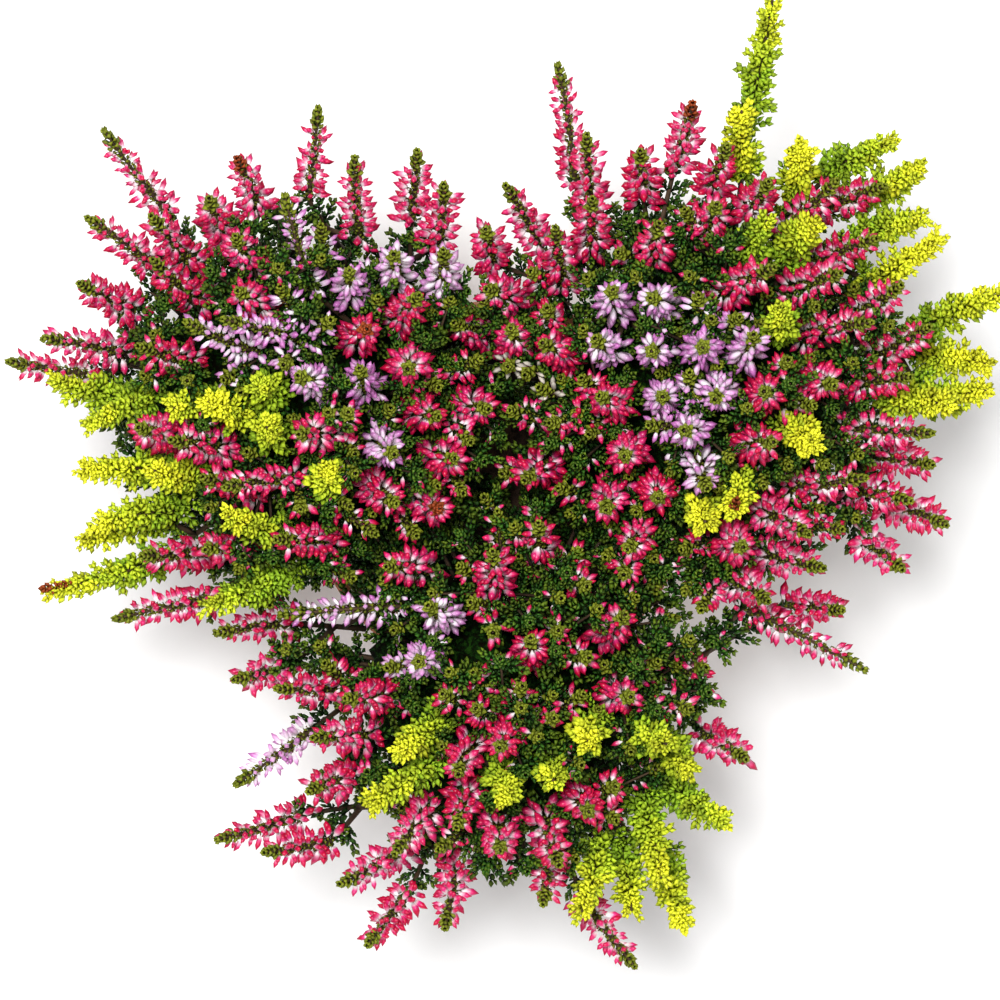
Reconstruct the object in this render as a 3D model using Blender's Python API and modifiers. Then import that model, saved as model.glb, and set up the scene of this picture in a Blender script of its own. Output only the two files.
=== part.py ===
"""Potted heather: three heather bushes in bud, pink, lilac and golden, growing in one round clay pot.

Metres, +Z up. The origin is the middle of the pot's base, on the surface that it stands on.
The bushes' sprays are placed from a plan: for each spray, the pixel of the photograph where its
tip is and the pixel where its flowers or coloured leaves begin.
"""

import math

import bmesh
import bpy
import numpy as np
from mathutils import Matrix, Vector, noise
from mathutils.bvhtree import BVHTree

# The pot
POT_HEIGHT = 0.110
POT_BASE_RADIUS = 0.043
POT_RIM_RADIUS = 0.060
POT_WALL = 0.005
POT_FLOOR = 0.006
RIM_BAND_HEIGHT = 0.018
RIM_BAND_STEP = 0.003
RIM_ROUNDING = 0.0018
POT_SEGMENTS = 24
DRAIN_RADIUS = 0.005
DRAIN_CIRCLE = 0.024
DRAIN_COUNT = 4

# The soil
SOIL_TOP = 0.097
SOIL_CRUMB = 0.0018
FIT_GAP = 0.0004
STEM_HOLE_RADIUS = 0.0085
STEM_HOLE_DEPTH = 0.030

# The plan's scale: metres a pixel of the photograph, and the pixel above the pot's axis
PIXEL = 0.0003
AXIS_PIXEL = (500, 490)

# The bushes: the pixel at the middle of each crown, and where its stem stands in the soil
CROWNS = {"left": (285, 390), "right": (715, 390), "front": (510, 690)}
STEM_FEET = {"left": (-0.026, 0.013), "right": (0.026, 0.013), "front": (0.001, -0.029)}
TRUNK_RADIUS = 0.0062
COLLAR_HEIGHT = 0.010
HEART_RADIUS = 0.049
HEART_HALF_HEIGHT = 0.044
HEART_MIDDLE = 0.158
HEART_LUMP = 0.0035
LEAN_POWER = 1.6
HEART_SECTORS = 16
HEART_RINGS = 10
TWIG_RISE = 0.012
TWIG_ROOM = 0.0024
TWIG_SPREAD = 0.0080
WOOD_STEMS = 5
WOOD_RADIUS = 0.0017

# The crowns' tops: a dome over each bush
CROWN_TOP = 0.262
DOME_FALL = 7.6
DOME_SPREAD = 0.095

# Green shoots of a bush: rings of (place along the shoot, low radius, raised radius, lean)
SHOOT_PLACES = 40
SHOOT_LENGTH = 0.026
SHOOT_RADIUS = 0.0046
SHOOT_RINGS = (
    (0.14, 0.0013, 0.0015, 0.0),
    (0.42, 0.0018, SHOOT_RADIUS, 0.0016),
    (0.64, 0.0018, 0.95 * SHOOT_RADIUS, 0.0016),
    (0.85, 0.0015, 0.70 * SHOOT_RADIUS, 0.0014),
)
SHOOT_SINK = 0.0035
SHOOT_GAP = 0.0016
SOIL_CLEARANCE = 0.006
RIM_CLEARANCE_UP = 0.010
RIM_CLEARANCE_IN = 0.020

# Sprays: their length, the reach and waist of their buds or leaf lobes, and how far those lean forward
SPRAY = {
    "pink": {"length": 0.041, "reach": 0.0070, "waist": 0.0024, "lean": 0.0030},
    "lilac": {"length": 0.039, "reach": 0.0068, "waist": 0.0024, "lean": 0.0030},
    "golden": {"length": 0.036, "reach": 0.0064, "waist": 0.0028, "lean": 0.0022},
}
SHORT_SPRAY = 0.0375
LONG_SPRAY = 0.047
TUFT_REACH = 0.0034
STALK_RADIUS = 0.0014
STALK_GAP = 0.0010
STALK_RING = 0.0028
STALK_LEAD = 0.7
FORK_AT = 0.40
FORK_STEP = 0.09
FORK_SINK = 0.0006
SPRAY_BOW = 0.05
AXIS_STEP = 0.02
BUNCH_TWISTS = (0.0, 0.25, 0.5, 0.75, 1.0, 1.25, 1.5)
WELD = 1e-7
SHORTEST_EDGE = 4e-6
SPRAY_GAP = 0.0010

# Places along a stalk and along its flowers or leaves that are kept clear, and how wide these are there
STALK_SAMPLES = (0.14, 0.32, 0.50, 0.68, 0.86)
BLOOM_SAMPLES = (0.04, 0.18, 0.32, 0.46, 0.60, 0.74, 0.88)
BLOOM_SHAPE = (0.70, 0.95, 1.00, 1.00, 0.97, 0.88, 0.72)
SPREAD_ROUNDS = 140

COLOURS = {
    "clay": ((0.52, 0.22, 0.12), 0.75),
    "soil": ((0.045, 0.028, 0.018), 0.95),
    "green": ((0.045, 0.105, 0.028), 0.70),
    "pink": ((0.74, 0.06, 0.17), 0.55),
    "lilac": ((0.62, 0.30, 0.62), 0.55),
    "golden": ((0.58, 0.60, 0.05), 0.60),
}

# The plan. A row is tip x, tip y, then the x and y where the flowers or coloured leaves begin
PLAN = {
    ("pink", "left"): (
        ((3, 360, 100, 368), (48, 333, 112, 352), (145, 356, 195, 364), (72, 283, 128, 312)),
        ((122, 614, 208, 600), (150, 562, 222, 548), (212, 536, 250, 538), (262, 530, 304, 536)),
        ((102, 138, 160, 205), (153, 210, 205, 262), (95, 217, 150, 264), (152, 268, 198, 298)),
        ((212, 192, 232, 232), (236, 170, 240, 222), (229, 240, 248, 266), (243, 296, 262, 312)),
        ((324, 112, 304, 195), (348, 163, 358, 235)),
        ((421, 149, 421, 228), (455, 190, 434, 230)),
        ((404, 303, 388, 320), (376, 324, 362, 338)),
        ((178, 436, 226, 440), (143, 420, 180, 426), (228, 464, 286, 470), (218, 488, 286, 488)),
        ((389, 496, 372, 480), (308, 430, 326, 432), (440, 515, 420, 498)),
        ((430, 412, 412, 406), (403, 372, 386, 374), (453, 467, 434, 456), (482, 404, 462, 406)),
    ),
    ("pink", "right"): (
        ((567, 62, 577, 175), (584, 142, 592, 198), (588, 194, 592, 246)),
        ((513, 186, 543, 248), (552, 234, 566, 280), (473, 217, 492, 262)),
        ((497, 300, 512, 296), (449, 326, 490, 330), (514, 316, 520, 345), (545, 346, 560, 352)),
        ((652, 228, 656, 262), (646, 141, 652, 190), (697, 111, 672, 165)),
        ((722, 153, 718, 200), (731, 192, 722, 228), (768, 198, 755, 218), (766, 262, 730, 276)),
        ((890, 175, 802, 204), (832, 186, 782, 212), (858, 236, 800, 260), (848, 272, 795, 284)),
        ((912, 335, 862, 350), (866, 300, 800, 314), (928, 372, 862, 376), (893, 305, 866, 334)),
        ((828, 380, 812, 378), (751, 384, 742, 384), (770, 448, 756, 440)),
        (
            (924, 490, 866, 484),
            (925, 458, 868, 452),
            (939, 437, 868, 430),
            (932, 512, 872, 506),
            (912, 566, 874, 524),
        ),
        (
            (852, 484, 778, 494),
            (803, 527, 752, 512),
            (742, 540, 732, 524),
            (812, 570, 762, 556),
            (765, 577, 730, 560),
        ),
        ((604, 404, 622, 404), (616, 455, 632, 448), (530, 474, 550, 462)),
        ((670, 512, 664, 498), (600, 508, 616, 494), (640, 532, 646, 516)),
    ),
    ("pink", "front"): (
        ((530, 645, 534, 656), (487, 548, 498, 592), (545, 522, 540, 560), (622, 622, 606, 634)),
        ((215, 635, 292, 640), (248, 679, 282, 655), (267, 692, 345, 690), (385, 560, 430, 572)),
        ((325, 736, 372, 734), (340, 706, 385, 704), (310, 782, 352, 778)),
        ((223, 846, 300, 822), (258, 858, 330, 848), (395, 830, 430, 800)),
        ((347, 893, 402, 866), (360, 946, 406, 894), (448, 920, 456, 872)),
        ((500, 760, 495, 745), (452, 775, 470, 755), (470, 812, 480, 785), (505, 850, 502, 815)),
        ((540, 862, 534, 830), (563, 890, 558, 845), (583, 811, 575, 790), (629, 961, 585, 905)),
        ((753, 757, 706, 738), (632, 710, 622, 704), (868, 655, 752, 600), (842, 622, 790, 612)),
    ),
    ("lilac", "left"): (
        ((283, 206, 318, 292), (345, 266, 345, 298)),
        ((232, 316, 300, 334), (186, 328, 262, 350)),
        ((350, 358, 368, 384), (298, 386, 324, 390), (388, 462, 380, 446)),
        ((395, 250, 398, 282), (448, 256, 438, 284)),
    ),
    ("lilac", "right"): (
        ((608, 296, 622, 310), (650, 294, 658, 312), (612, 346, 630, 350), (640, 368, 654, 364)),
        ((712, 352, 714, 368), (753, 350, 748, 362)),
        ((672, 404, 684, 402), (712, 404, 712, 396), (684, 438, 690, 426), (698, 476, 700, 462)),
    ),
    ("lilac", "front"): (
        ((290, 612, 405, 606), (426, 618, 446, 624), (416, 650, 432, 658)),
        ((244, 783, 306, 736),),
    ),
    ("golden", "left"): (
        ((52, 388, 140, 400), (105, 428, 165, 416)),
        ((95, 478, 165, 478), (150, 460, 192, 470), (93, 508, 165, 498)),
        ((57, 588, 150, 548), (80, 548, 165, 522)),
        ((175, 426, 202, 432), (215, 408, 228, 424), (262, 432, 272, 440), (280, 400, 282, 414)),
        ((232, 510, 262, 514), (320, 466, 326, 480), (215, 598, 282, 578)),
    ),
    ("golden", "right"): (
        ((779, 0, 757, 95), (735, 108, 745, 165)),
        ((810, 152, 803, 198), (917, 176, 868, 188), (886, 150, 838, 182)),
        ((928, 222, 862, 228), (936, 237, 876, 272)),
        ((1000, 291, 940, 328), (995, 357, 938, 346), (977, 396, 915, 396), (935, 408, 890, 414)),
        ((782, 320, 778, 334), (775, 228, 765, 250), (808, 222, 795, 248)),
        ((728, 516, 730, 484), (702, 494, 722, 486), (804, 440, 784, 426)),
    ),
    ("golden", "front"): (
        ((378, 813, 435, 760), (396, 762, 450, 750), (502, 782, 498, 758)),
        ((592, 744, 588, 728), (660, 742, 648, 732), (680, 757, 660, 742), (560, 790, 562, 770)),
        ((715, 822, 668, 796), (668, 872, 652, 805)),
        ((640, 922, 633, 862), (664, 920, 658, 870), (581, 909, 594, 862)),
    ),
}


def clear_scene():
    for thing in list(bpy.data.objects):
        bpy.data.objects.remove(thing, do_unlink=True)


def new_collection(name):
    made = bpy.data.collections.new(name)
    bpy.context.scene.collection.children.link(made)
    return made


def new_material(name):
    colour, roughness = COLOURS[name]
    made = bpy.data.materials.new(name)
    made.use_nodes = True
    shader = made.node_tree.nodes["Principled BSDF"]
    shader.inputs["Base Color"].default_value = (*colour, 1.0)
    shader.inputs["Roughness"].default_value = roughness
    shader.inputs["Metallic"].default_value = 0.0
    made.diffuse_color = (*colour, 1.0)
    return made


def object_from(bm, name, collection, material=None):
    mesh = bpy.data.meshes.new(name)
    bm.to_mesh(mesh)
    bm.free()
    made = bpy.data.objects.new(name, mesh)
    collection.objects.link(made)
    if material:
        mesh.materials.append(material)
    return made


def over_plan(x, y):
    """The place above the pot of a pixel of the photograph."""
    return (x - AXIS_PIXEL[0]) * PIXEL, (AXIS_PIXEL[1] - y) * PIXEL


def applied(thing):
    """Puts the result of the object's modifiers in its mesh."""
    graph = bpy.context.evaluated_depsgraph_get()
    mesh = bpy.data.meshes.new_from_object(thing.evaluated_get(graph))
    thing.modifiers.clear()
    thing.data = mesh
    return thing


def unite(body, others, scraps):
    """Joins the other objects to the body by one Boolean union, and removes them."""
    if not others:
        return body
    for other in others:
        scraps.objects.link(other)
    union = body.modifiers.new("grown together", "BOOLEAN")
    union.operation = "UNION"
    union.solver = "MANIFOLD"
    union.operand_type = "COLLECTION"
    union.collection = scraps
    applied(body)
    for other in others:
        bpy.data.objects.remove(other, do_unlink=True)
    return body


# Pot and soil


def turned(name, profile, collection, material):
    """A profile of (radius, height) points turned round the pot's axis, which it starts and ends on."""
    bm = bmesh.new()
    points = [bm.verts.new((radius, 0.0, height)) for radius, height in profile]
    for first, second in zip(points, points[1:]):
        bm.edges.new((first, second))
    made = object_from(bm, name, collection, material)
    screw = made.modifiers.new("turned", "SCREW")
    screw.steps = POT_SEGMENTS
    screw.render_steps = POT_SEGMENTS
    screw.use_merge_vertices = True
    screw.merge_threshold = 1e-5
    return made


def wall_radius(height):
    """The outer radius of the pot's tapered wall."""
    full = POT_RIM_RADIUS - RIM_BAND_STEP
    return POT_BASE_RADIUS + (full - POT_BASE_RADIUS) * height / POT_HEIGHT


def make_pot(collection, cutters, material):
    band_bottom = POT_HEIGHT - RIM_BAND_HEIGHT
    inner_top = POT_RIM_RADIUS - RIM_BAND_STEP - POT_WALL
    profile = (
        (0.0, POT_FLOOR),
        (wall_radius(POT_FLOOR) - POT_WALL, POT_FLOOR),
        (inner_top, POT_HEIGHT - RIM_ROUNDING),
        (inner_top + RIM_ROUNDING, POT_HEIGHT),
        (POT_RIM_RADIUS - RIM_ROUNDING, POT_HEIGHT),
        (POT_RIM_RADIUS, POT_HEIGHT - RIM_ROUNDING),
        (POT_RIM_RADIUS - 0.001, band_bottom + RIM_ROUNDING),
        (POT_RIM_RADIUS - 0.001 - RIM_ROUNDING, band_bottom),
        (wall_radius(band_bottom), band_bottom),
        (POT_BASE_RADIUS, RIM_ROUNDING),
        (POT_BASE_RADIUS - RIM_ROUNDING, 0.0),
        (0.0, 0.0),
    )
    pot = turned("pot", profile, collection, material)
    holes = []
    for number in range(DRAIN_COUNT):
        turn = 2 * math.pi * (number + 0.5) / DRAIN_COUNT
        place = Vector((DRAIN_CIRCLE * math.cos(turn), DRAIN_CIRCLE * math.sin(turn), POT_FLOOR / 2))
        holes.append(cutter_cylinder(f"drain_{number}", DRAIN_RADIUS, 4 * POT_FLOOR, place, cutters))
    for hole in holes:
        cut = pot.modifiers.new(hole.name, "BOOLEAN")
        cut.operation = "DIFFERENCE"
        cut.object = hole
    return pot


def cutter_cylinder(name, radius, height, middle, cutters):
    bm = bmesh.new()
    bmesh.ops.create_cone(
        bm,
        cap_ends=True,
        segments=10,
        radius1=radius,
        radius2=radius,
        depth=height,
        matrix=Matrix.Translation(middle),
    )
    made = object_from(bm, name, cutters)
    made.hide_render = True
    made.display_type = "WIRE"
    return made


def make_soil(collection, cutters, material):
    inner_bottom = wall_radius(POT_FLOOR) - POT_WALL - FIT_GAP
    full = POT_RIM_RADIUS - RIM_BAND_STEP - POT_WALL
    slope = (full - (wall_radius(POT_FLOOR) - POT_WALL)) / (POT_HEIGHT - RIM_ROUNDING - POT_FLOOR)
    inner_top = inner_bottom + slope * (SOIL_TOP - POT_FLOOR - 2 * SOIL_CRUMB)
    top = [(share * inner_top, SOIL_TOP) for share in (0.0, 0.18, 0.40, 0.62, 0.82, 0.999)]
    side = [(inner_top, SOIL_TOP - 2 * SOIL_CRUMB), (inner_bottom, POT_FLOOR + FIT_GAP)]
    profile = top + side + [(0.0, POT_FLOOR + FIT_GAP)]
    soil = applied(turned("soil", profile, collection, material))
    for vertex in soil.data.vertices:
        if vertex.co.z > SOIL_TOP - SOIL_CRUMB:
            vertex.co.z += SOIL_CRUMB * noise.noise(vertex.co * 55.0)
    for name, (x, y) in STEM_FEET.items():
        middle = Vector((x, y, SOIL_TOP))
        hole = cutter_cylinder(f"hole_{name}", STEM_HOLE_RADIUS, 2 * STEM_HOLE_DEPTH, middle, cutters)
        cut = soil.modifiers.new(hole.name, "BOOLEAN")
        cut.operation = "DIFFERENCE"
        cut.object = hole
    return soil


# Sprays: where each one grows


def dome_height(x, y, crown):
    """How high the crown of a bush stands above a place: a dome that flattens out towards its edge."""
    middle_x, middle_y = over_plan(*CROWNS[crown])
    out = math.hypot(x - middle_x, y - middle_y)
    return CROWN_TOP - DOME_FALL * out**2 / math.sqrt(1 + (out / DOME_SPREAD) ** 4)


def read_plan():
    """Every spray of the plan, as a list of dictionaries, with its bunch's name."""
    sprays = []
    for (kind, crown), bunches in PLAN.items():
        for number, rows in enumerate(bunches, 1):
            for row in rows:
                sprays.append(spray_from(row, kind, crown, f"{kind}_{crown}_{number:02d}", len(sprays)))
    return sprays


def spray_from(row, kind, crown, bunch, index):
    """A spray's tip stands on the dome, and its foot below it, so that the spray has its real length."""
    tip_x, tip_y = over_plan(*row[:2])
    foot_x, foot_y = over_plan(*row[2:])
    across = math.hypot(tip_x - foot_x, tip_y - foot_y)
    length = SPRAY[kind]["length"] * (1.0 + 0.08 * math.sin(2.3 * index))
    length = max(length, 1.08 * across)
    tip_z = dome_height(tip_x, tip_y, crown) + 0.004 * math.sin(1.7 * index)
    foot_z = tip_z - math.sqrt(length**2 - across**2)
    return {
        "kind": kind,
        "crown": crown,
        "bunch": bunch,
        "tip": np.array((tip_x, tip_y, tip_z)),
        "foot": np.array((foot_x, foot_y, foot_z)),
    }


def heart_middle(crown):
    x, y = over_plan(*CROWNS[crown])
    return np.array((x, y, HEART_MIDDLE))


def heart_surface(crown, towards):
    """The point of the heart's plain surface below a point outside it."""
    middle = heart_middle(crown)
    way = towards - middle
    size = np.sqrt((way[0] ** 2 + way[1] ** 2) / HEART_RADIUS**2 + way[2] ** 2 / HEART_HALF_HEIGHT**2)
    return middle + way / size


def spread_sprays(sprays):
    """Moves feet and tips until no two sprays touch, and sets where each one grows from."""
    feet = np.array([spray["foot"] for spray in sprays])
    tips = np.array([spray["tip"] for spray in sprays])
    wanted_feet, wanted_tips = feet.copy(), tips.copy()
    bunches = sorted({spray["bunch"] for spray in sprays})
    bunch_of = np.array([bunches.index(spray["bunch"]) for spray in sprays])
    leads = np.array([np.flatnonzero(bunch_of == bunch)[0] for bunch in bunch_of])
    reach = np.array([SPRAY[spray["kind"]]["reach"] for spray in sprays])
    stalk_radii = np.full((len(sprays), len(STALK_SAMPLES)), STALK_RADIUS)
    radii = np.concatenate([stalk_radii, reach[:, None] * np.array(BLOOM_SHAPE)], axis=1).reshape(-1)
    starts = starts_of(sprays, bunches, bunch_of, feet, tips)
    each = len(STALK_SAMPLES) + len(BLOOM_SAMPLES)
    owner = np.repeat(np.arange(len(sprays)), each)
    foot_share = np.tile(np.array(list(STALK_SAMPLES) + [1 - s for s in BLOOM_SAMPLES]), len(sprays))
    tip_share = np.tile(np.array([0.0] * len(STALK_SAMPLES) + list(BLOOM_SAMPLES)), len(sprays))
    same_bunch = bunch_of[owner][:, None] == bunch_of[owner][None, :]
    same_spray = owner[:, None] == owner[None, :]
    apart = radii[:, None] + radii[None, :] + SPRAY_GAP
    stalk = np.tile(np.array([True] * len(STALK_SAMPLES) + [False] * len(BLOOM_SAMPLES)), len(sprays))
    skip = same_spray | (same_bunch & stalk[:, None] & stalk[None, :])
    for step in range(SPREAD_ROUNDS):
        points = sample_points(starts, feet, tips)
        push = push_apart(points, apart, skip)
        push += push_from_hearts(points, radii, stalk)
        push *= np.array((0.7, 0.7, 1.0))
        moved_feet, moved_tips = np.zeros_like(feet), np.zeros_like(tips)
        np.add.at(moved_feet, owner, push * foot_share[:, None])
        np.add.at(moved_tips, owner, push * tip_share[:, None])
        ease = 0.03 * (1 - step / SPREAD_ROUNDS)
        feet += np.clip(0.45 * moved_feet, -0.002, 0.002) + ease * (wanted_feet - feet)
        tips += np.clip(0.45 * moved_tips, -0.002, 0.002) + ease * (wanted_tips - tips)
        starts = starts_of(sprays, bunches, bunch_of, feet, tips)
    for number, spray in enumerate(sprays):
        spray["start"], spray["foot"], spray["tip"] = starts[number], feet[number], tips[number]
        spray["lead"] = number == leads[number]
    return sprays


def starts_of(sprays, bunches, bunch_of, feet, tips):
    """A bunch's first spray starts on its bush's heart, and the others fork from its stalk."""
    behind = feet - STALK_LEAD * (tips - feet)
    starts = np.zeros_like(feet)
    for bunch in range(len(bunches)):
        members = np.flatnonzero(bunch_of == bunch)
        lead = members[0]
        starts[lead] = heart_surface(sprays[lead]["crown"], behind[members].mean(axis=0))
        for member in members[1:]:
            fork = FORK_AT + FORK_STEP * ((member - lead) % 3 - 1)
            starts[member] = starts[lead] + fork * (feet[lead] - starts[lead])
    return starts


def sample_points(starts, feet, tips):
    stalk = np.array(STALK_SAMPLES)[None, :, None]
    bloom = np.array(BLOOM_SAMPLES)[None, :, None]
    on_stalk = starts[:, None] * (1 - stalk) + feet[:, None] * stalk
    on_bloom = feet[:, None] * (1 - bloom) + tips[:, None] * bloom
    length = np.linalg.norm(tips - feet, axis=1)
    on_bloom[:, :, 2] += SPRAY_BOW * length[:, None] * 4 * bloom[:, :, 0] * (1 - bloom[:, :, 0])
    return np.concatenate([on_stalk, on_bloom], axis=1).reshape(-1, 3)


def push_apart(points, apart, skip):
    lengths = (points**2).sum(axis=1)
    square = lengths[:, None] + lengths[None, :] - 2 * points @ points.T
    first, second = np.nonzero((square < apart**2) & ~skip)
    way = points[first] - points[second]
    distance = np.maximum(np.linalg.norm(way, axis=1), 1e-6)
    depth = (apart[first, second] - distance) / distance
    push = np.zeros_like(points)
    np.add.at(push, first, 0.5 * way * depth[:, None])
    return push


def push_from_hearts(points, radii, stalk):
    push = np.zeros_like(points)
    for crown in CROWNS:
        way = points - heart_middle(crown)
        room = np.where(stalk, 0.0, 0.6 * radii)
        wide = HEART_RADIUS + HEART_LUMP + room
        high = HEART_HALF_HEIGHT + HEART_LUMP + room
        size = np.sqrt((way[:, 0] ** 2 + way[:, 1] ** 2) / wide**2 + way[:, 2] ** 2 / high**2)
        inside = (size < 1) & ~(stalk & (size > 0.92))
        push[inside] += way[inside] * (1 / np.maximum(size[inside], 0.3) - 1)[:, None]
    return push


# Sprays and shoots: their shapes


def leafy_rod(axis, rings, turn, name, collection, material):
    """A closed four-sided rod along an axis. Each ring is (place, low radius, raised radius, lean).

    Every other point of a ring is raised and leans towards the tip, and the next ring swaps them,
    so that the raised points stand like paired buds or leaves.
    """
    bm = bmesh.new()
    bmesh.ops.create_uvsphere(bm, u_segments=4, v_segments=len(rings) + 1, radius=1.0)
    frames = frames_along(axis, [ring[0] for ring in rings])
    for vertex in bm.verts:
        height = max(-1.0, min(1.0, vertex.co.z))
        row = round(math.acos(-height) / math.pi * (len(rings) + 1))
        if row == 0:
            vertex.co = axis(0.0)
        elif row > len(rings):
            vertex.co = axis(1.0)
        else:
            sector = round(math.atan2(vertex.co.y, vertex.co.x) / (math.pi / 2)) % 4
            centre, ahead, side, up = frames[row - 1]
            _, low, raised, lean = rings[row - 1]
            stands = (sector + row) % 2 == 0
            radius = raised if stands else low
            angle = turn + sector * math.pi / 2
            out = side * math.cos(angle) + up * math.sin(angle)
            vertex.co = centre + out * radius + ahead * (lean if stands else 0.0)
    bmesh.ops.recalc_face_normals(bm, faces=bm.faces)
    if bm.calc_volume(signed=True) < 0:
        bmesh.ops.reverse_faces(bm, faces=bm.faces)
    bmesh.ops.triangulate(bm, faces=bm.faces, quad_method="SHORT_EDGE")
    return object_from(bm, name, collection, material)


def frames_along(axis, places):
    """At each place a point of the axis, its direction and two directions across it, with no twist between."""
    frames = []
    for place in places:
        ahead = (axis(min(1.0, place + AXIS_STEP)) - axis(max(0.0, place - AXIS_STEP))).normalized()
        if frames:
            side = frames[-1][1].rotation_difference(ahead) @ frames[-1][2]
        else:
            level = Vector((0.0, 0.0, 1.0)) if abs(ahead.z) < 0.9 else Vector((0.0, 1.0, 0.0))
            side = ahead.cross(level).normalized()
        frames.append((axis(place), ahead, side, side.cross(ahead)))
    return frames


def spray_axis(start, foot, tip):
    """From the start straight to the foot, then on to the tip with a slight rise in the middle."""
    start, foot, tip = Vector(start), Vector(foot), Vector(tip)
    stalk = (foot - start).length
    share = stalk / (stalk + (tip - foot).length)
    bow = Vector((0.0, 0.0, SPRAY_BOW * (tip - foot).length))

    def axis(place):
        if place < share:
            return start.lerp(foot, place / share)
        along = (place - share) / (1 - share)
        return foot.lerp(tip, along) + bow * 4 * along * (1 - along)

    return axis, share


def bud_places(length):
    """Where the rings of buds or leaf lobes stand, as shares of the way from foot to tip."""
    count = 3 if length < SHORT_SPRAY else 4 if length < LONG_SPRAY else 5
    return [0.15 + 0.66 * ring / (count - 1) for ring in range(count)]


def make_spray(spray, heart_tree, twist, name, collection, material):
    kind = SPRAY[spray["kind"]]
    start, foot, tip = Vector(spray["start"]), Vector(spray["foot"]), Vector(spray["tip"])
    ahead = (foot - start).normalized()
    if spray["lead"]:
        middle = Vector(heart_middle(spray["crown"]))
        hit = heart_tree.ray_cast(foot, (start - foot).normalized())[0] or start
        start = hit + (hit - middle).normalized() * STALK_GAP
    else:
        start = start - ahead * FORK_SINK
    axis, share = spray_axis(start, foot, tip)
    stalk = (foot - start).length
    reach, waist, lean = kind["reach"], kind["waist"], kind["lean"]
    near = STALK_RING / stalk * share
    rings = [(near, STALK_RADIUS, STALK_RADIUS, 0.0)]
    rings.append((share, STALK_RADIUS, 0.8 * waist + 0.0006, 0.0))
    for place in bud_places((tip - foot).length):
        size = 1.0 - 1.6 * (place - 0.40) ** 2
        rings.append((share + place * (1 - share), waist, size * reach, lean))
    rings.append((share + 0.91 * (1 - share), 0.6 * TUFT_REACH, TUFT_REACH, 0.5 * lean))
    turn = twist + 0.9 * math.sin(7.0 * tip.x / PIXEL / 100 + 3.0 * tip.y / PIXEL / 100)
    return leafy_rod(axis, rings, turn, name, collection, material)


def make_bunches(sprays, heart_trees, collection, scraps, materials):
    bunches = {}
    for spray in sprays:
        bunches.setdefault(spray["bunch"], []).append(spray)
    for name, members in bunches.items():
        tree = heart_trees[members[0]["crown"]]
        material = materials[members[0]["kind"]]
        joined = new_collection(f"joined_{name}")
        for twist in BUNCH_TWISTS:
            body = make_spray(members[0], tree, twist, name, collection, material)
            others = [make_spray(spray, tree, twist, name, scraps, material) for spray in members[1:]]
            unite(body, others, joined)
            if is_one_skin(body.data) or twist == BUNCH_TWISTS[-1]:
                break
            bpy.data.objects.remove(body, do_unlink=True)


def is_one_skin(mesh):
    """Whether a joined mesh is one closed skin, with no second skin inside and no edges that coincide."""
    bm = bmesh.new()
    bm.from_mesh(mesh)
    bmesh.ops.remove_doubles(bm, verts=bm.verts, dist=WELD)
    closed = all(len(edge.link_faces) == 2 and edge.calc_length() > SHORTEST_EDGE for edge in bm.edges)
    bm.faces.ensure_lookup_table()
    reached = {bm.faces[0]}
    ahead = [bm.faces[0]]
    while ahead:
        beside = {face for edge in ahead.pop().edges for face in edge.link_faces} - reached
        reached |= beside
        ahead += beside
    whole = len(reached) == len(bm.faces)
    bm.free()
    return closed and whole


# Bushes


def make_heart(crown, obstacles, trees, collection, material):
    """The dense heart of a bush: a lumpy ball whose every other point is drawn out into a twig."""
    bm = bmesh.new()
    bmesh.ops.create_uvsphere(bm, u_segments=HEART_SECTORS, v_segments=HEART_RINGS, radius=1.0)
    middle = Vector(heart_middle(crown))
    for vertex in bm.verts:
        out = vertex.co.copy()
        row = round(math.acos(max(-1.0, min(1.0, -out.z))) / math.pi * HEART_RINGS)
        sector = round(math.atan2(out.y, out.x) / (2 * math.pi / HEART_SECTORS))
        lump = HEART_LUMP * noise.noise(out * 2.6 + middle * 40)
        size = Vector((HEART_RADIUS + lump, HEART_RADIUS + lump, HEART_HALF_HEIGHT + lump))
        vertex.co = middle + out * size + lean_to_foot(crown, HEART_MIDDLE + out.z * size.z)
        if (row + sector) % 2 == 0 and 1 < row < HEART_RINGS:
            vertex.co += twig_rise(vertex.co, out, crown, obstacles, trees)
    bmesh.ops.triangulate(bm, faces=bm.faces, quad_method="SHORT_EDGE")
    return object_from(bm, f"bush_{crown}", collection, material)


def lean_to_foot(crown, height):
    """How far a level of the heart's lower half is shifted towards where the bush stands in the soil."""
    middle_x, middle_y = over_plan(*CROWNS[crown])
    share = (max(0.0, HEART_MIDDLE - height) / (HEART_MIDDLE - SOIL_TOP)) ** LEAN_POWER
    return Vector((STEM_FEET[crown][0] - middle_x, STEM_FEET[crown][1] - middle_y, 0.0)) * share


def twig_rise(foot, out, crown, obstacles, trees):
    """How far a twig stands out of the heart: as far as the sprays beside it leave room."""
    way = (out + Vector((0, 0, 0.3))).normalized() * TWIG_RISE
    shares = (1.0, 0.8, 0.6, 0.4)
    rooms = [TWIG_ROOM + TWIG_SPREAD * (1 - share) for share in shares]
    for length in (1.0, 0.7, 0.4):
        rise = way * length * (0.85 + 0.3 * noise.noise(foot * 300))
        if is_clear([foot + share * rise for share in shares], rooms, crown, obstacles, trees):
            return rise
    return Vector()


def rod(start, end, radius, end_radius, name, collection, sides=4):
    """A straight closed stem between two points."""
    start, end = Vector(start), Vector(end)
    way = end - start
    matrix = Matrix.Translation((start + end) / 2) @ way.to_track_quat("Z", "Y").to_matrix().to_4x4()
    bm = bmesh.new()
    bmesh.ops.create_cone(
        bm,
        cap_ends=True,
        segments=sides,
        radius1=radius,
        radius2=end_radius,
        depth=way.length,
        matrix=matrix,
    )
    return object_from(bm, name, collection)


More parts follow.
